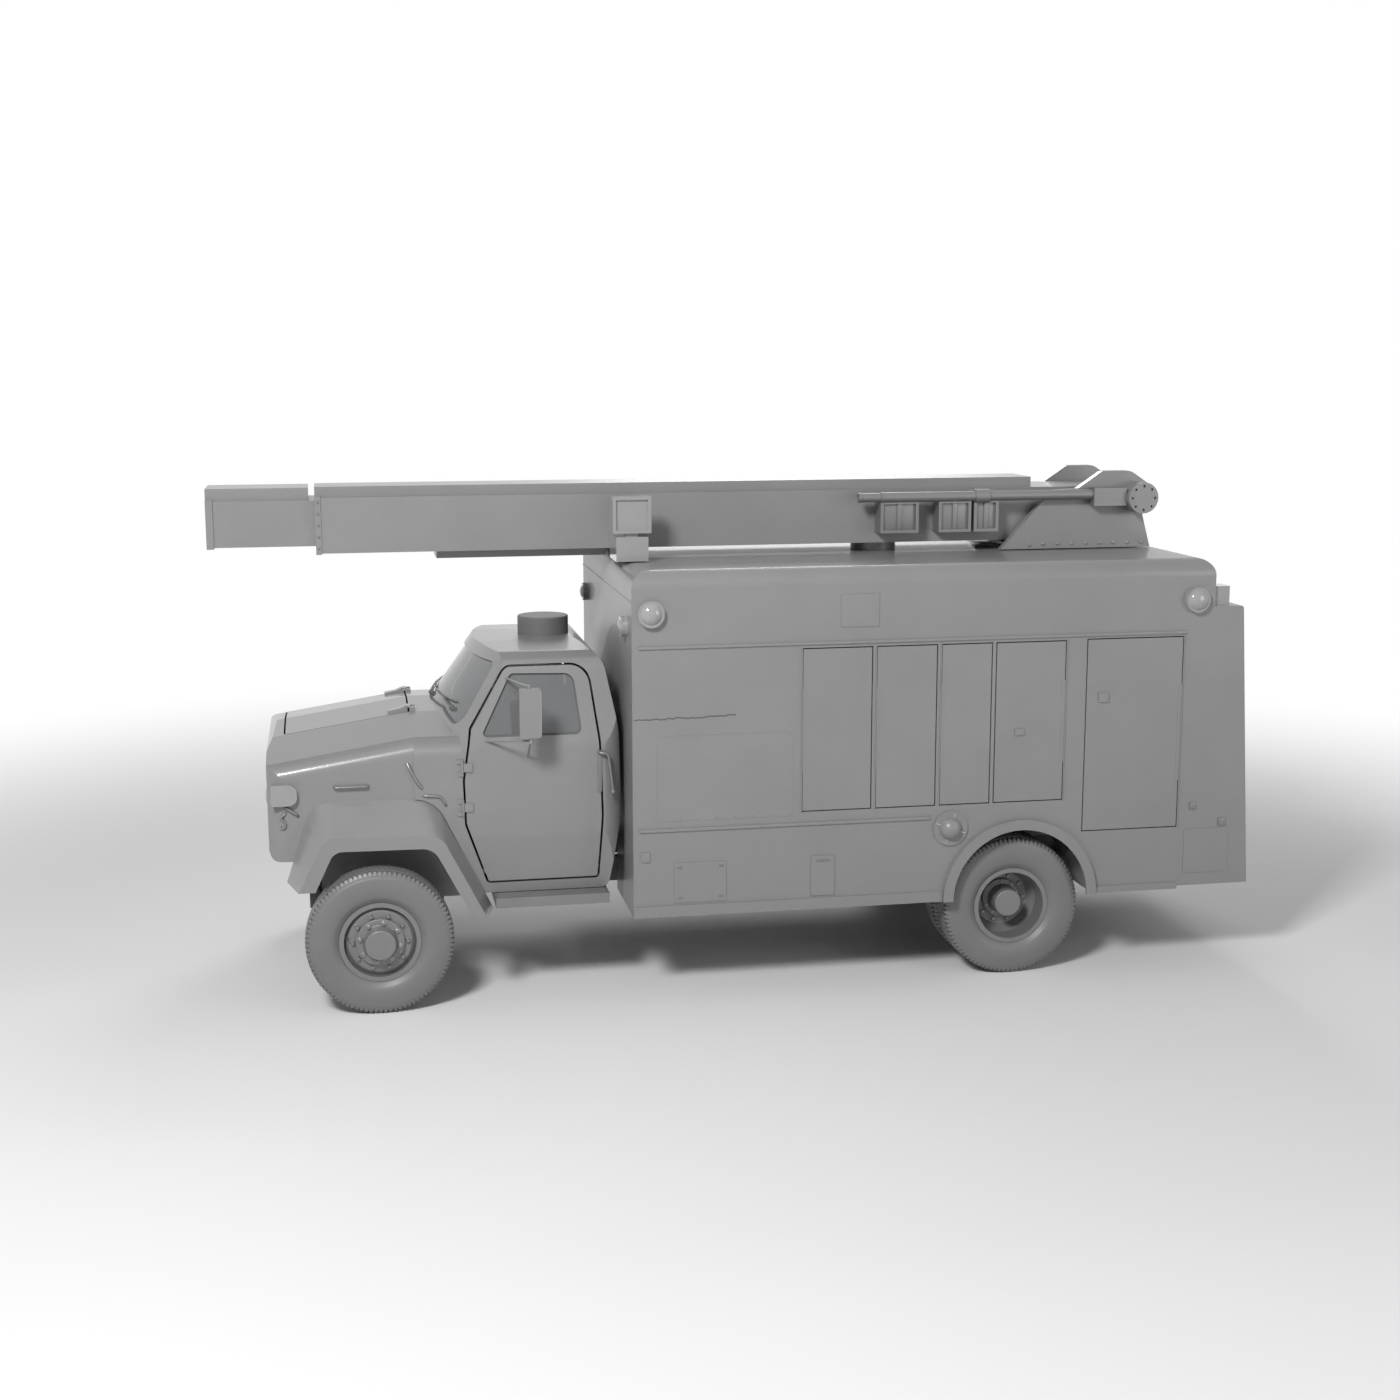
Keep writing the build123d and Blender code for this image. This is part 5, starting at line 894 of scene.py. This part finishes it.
# Columns: X, height, half size
SMALL_PLATES = [(-3.239, 1.205, 0.026), (-3.47, 1.075, 0.028)]

tail = tree_of("body_tail")
back = Shapes()
clear_lenses = Shapes()
for way in (1, -1):
    for z in TAIL_LAMP_HEIGHTS:
        place, normal = hit(tail, (BEHIND, way * LAMP_Y, z), (1, 0, 0), 0)
        back.turned(place, normal, LAMP_BASE, steps=32)
        clear_lenses.turned(place + normal * 0.002, normal, dome_profile(0.046, 0.015, 6), steps=32)
    lower, normal = hit(tail, (BEHIND, way * LAMP_Y, RAIL_HEIGHTS[0]), (1, 0, 0), -0.004)
    upper, _ = hit(tail, (BEHIND, way * LAMP_Y, RAIL_HEIGHTS[1]), (1, 0, 0), -0.004)
    out = normal * RAIL_STANDOFF
    back.tube(rounded_run([lower, lower + out, upper + out, upper], 0.02), 0.011)
    for end in (lower, upper):
        back.turned(end, normal, RAIL_FLANGE, steps=24)
plate, _ = hit(tail, (BEHIND, 0, 1.02), (1, 0, 0), 0)
back.slab((plate.x - 0.012, -PLATE_HALF_WIDTH, 0.955), (plate.x + 0.01, PLATE_HALF_WIDTH, 1.085), 0.003)
for height in TAIL_RIVET_HEIGHTS:
    for index in range(TAIL_RIVETS):
        y = TAIL_RIVET_START + TAIL_RIVET_PITCH * index
        place, normal = hit(tail, (BEHIND, y, height), (1, 0, 0), 0)
        back.turned(place, normal, RIVET_PROFILE, steps=RIVET_STEPS)
for way in (1, -1):
    for x, z, half in SMALL_PLATES:
        place, _ = hit(tail, (x, way * 3, z), (0, -way, 0), 0)
        low, high = sorted((place.y - way * 0.003, place.y + way * 0.009))
        back.slab((x - half, low, z - half), (x + half, high, z + half), 0.002)
back.piece("tail_trim", "truck", "body_paint", MATERIALS["steel_trim"])
clear_lenses.piece("tail_lenses", "truck", "lamp_plastic", lens_plastic)

# Floor, light and world

FLOOR_REACH = 60
FADE_START, FADE_END = 5.0, 13.0

floor_corners = [
    (-FLOOR_REACH, -FLOOR_REACH, 0),
    (FLOOR_REACH, -FLOOR_REACH, 0),
    (FLOOR_REACH, FLOOR_REACH, 0),
    (-FLOOR_REACH, FLOOR_REACH, 0),
]
floor_mesh = bpy.data.meshes.new("floor")
floor_mesh.from_pydata(floor_corners, [], [(0, 1, 2, 3)])
floor = bpy.data.objects.new("floor", floor_mesh)
bpy.context.scene.collection.objects.link(floor)
floor_finish = surface("floor_pale", (0.80, 0.80, 0.795), 0.7, vary=0.01, bump=0.02, grain=3)
floor_mesh.materials.append(floor_finish)


def seen_directly(tree):
    """1 for rays from the camera and for those that metal and glass pass on, and 0 for light."""
    path = tree.nodes.new("ShaderNodeLightPath")
    seen = math_node(tree, "MAXIMUM", path.outputs["Is Camera Ray"], path.outputs["Is Glossy Ray"])
    return math_node(tree, "MAXIMUM", seen, path.outputs["Is Transmission Ray"])


def fade_floor(material, near, far):
    """Lets the floor run out into the white backdrop with distance from the truck."""
    tree = material.node_tree
    geometry = tree.nodes.new("ShaderNodeNewGeometry")
    distance = tree.nodes.new("ShaderNodeVectorMath")
    distance.operation = "LENGTH"
    link(tree, geometry.outputs["Position"], distance.inputs[0])
    share = tree.nodes.new("ShaderNodeMapRange")
    share.interpolation_type = "SMOOTHSTEP"
    share.inputs["From Min"].default_value = near
    share.inputs["From Max"].default_value = far
    link(tree, distance.outputs["Value"], share.inputs["Value"])
    white = tree.nodes.new("ShaderNodeEmission")
    white.inputs["Color"].default_value = (1, 1, 1, 1)
    mixed = tree.nodes.new("ShaderNodeMixShader")
    seen = math_node(tree, "MULTIPLY", share.outputs["Result"], seen_directly(tree))
    link(tree, seen, mixed.inputs["Fac"])
    link(tree, tree.nodes["Principled BSDF"].outputs["BSDF"], mixed.inputs[1])
    link(tree, white.outputs["Emission"], mixed.inputs[2])
    link(tree, mixed.outputs["Shader"], tree.nodes["Material Output"].inputs["Surface"])


fade_floor(floor_finish, FADE_START, FADE_END)

world = bpy.data.worlds.new("world")
bpy.context.scene.world = world
world.use_nodes = True
sky_tree = world.node_tree
sky = sky_tree.nodes["Background"]
sky.inputs["Color"].default_value = (0.80, 0.81, 0.83, 1)
sky.inputs["Strength"].default_value = 0.26
backdrop = sky_tree.nodes.new("ShaderNodeBackground")
backdrop.inputs["Color"].default_value = (1, 1, 1, 1)
backdrop.inputs["Strength"].default_value = 1.0
chosen = sky_tree.nodes.new("ShaderNodeMixShader")
link(sky_tree, seen_directly(sky_tree), chosen.inputs["Fac"])
link(sky_tree, sky.outputs["Background"], chosen.inputs[1])
link(sky_tree, backdrop.outputs["Background"], chosen.inputs[2])
link(sky_tree, chosen.outputs["Shader"], sky_tree.nodes["World Output"].inputs["Surface"])

# Columns: name, place, what it points at, size, power
LAMPS = [
    ("key", (6.5, 10.5, 10.5), (0.0, 0.5, 1.6), 2.6, 1750),
    ("fill", (-9.0, 9.0, 4.5), (-0.8, 0.8, 1.6), 5.0, 190),
    ("back", (-3.0, -11.0, 9.0), (0.0, -0.5, 2.0), 5.0, 520),
]
for name, place, target, size, power in LAMPS:
    data = bpy.data.lights.new(name, "AREA")
    data.shape = "SQUARE"
    data.size = size
    data.energy = power
    lamp = bpy.data.objects.new(name, data)
    lamp.location = place
    lamp.rotation_euler = (Vector(target) - Vector(place)).to_track_quat("-Z", "Y").to_euler()
    bpy.context.scene.collection.objects.link(lamp)
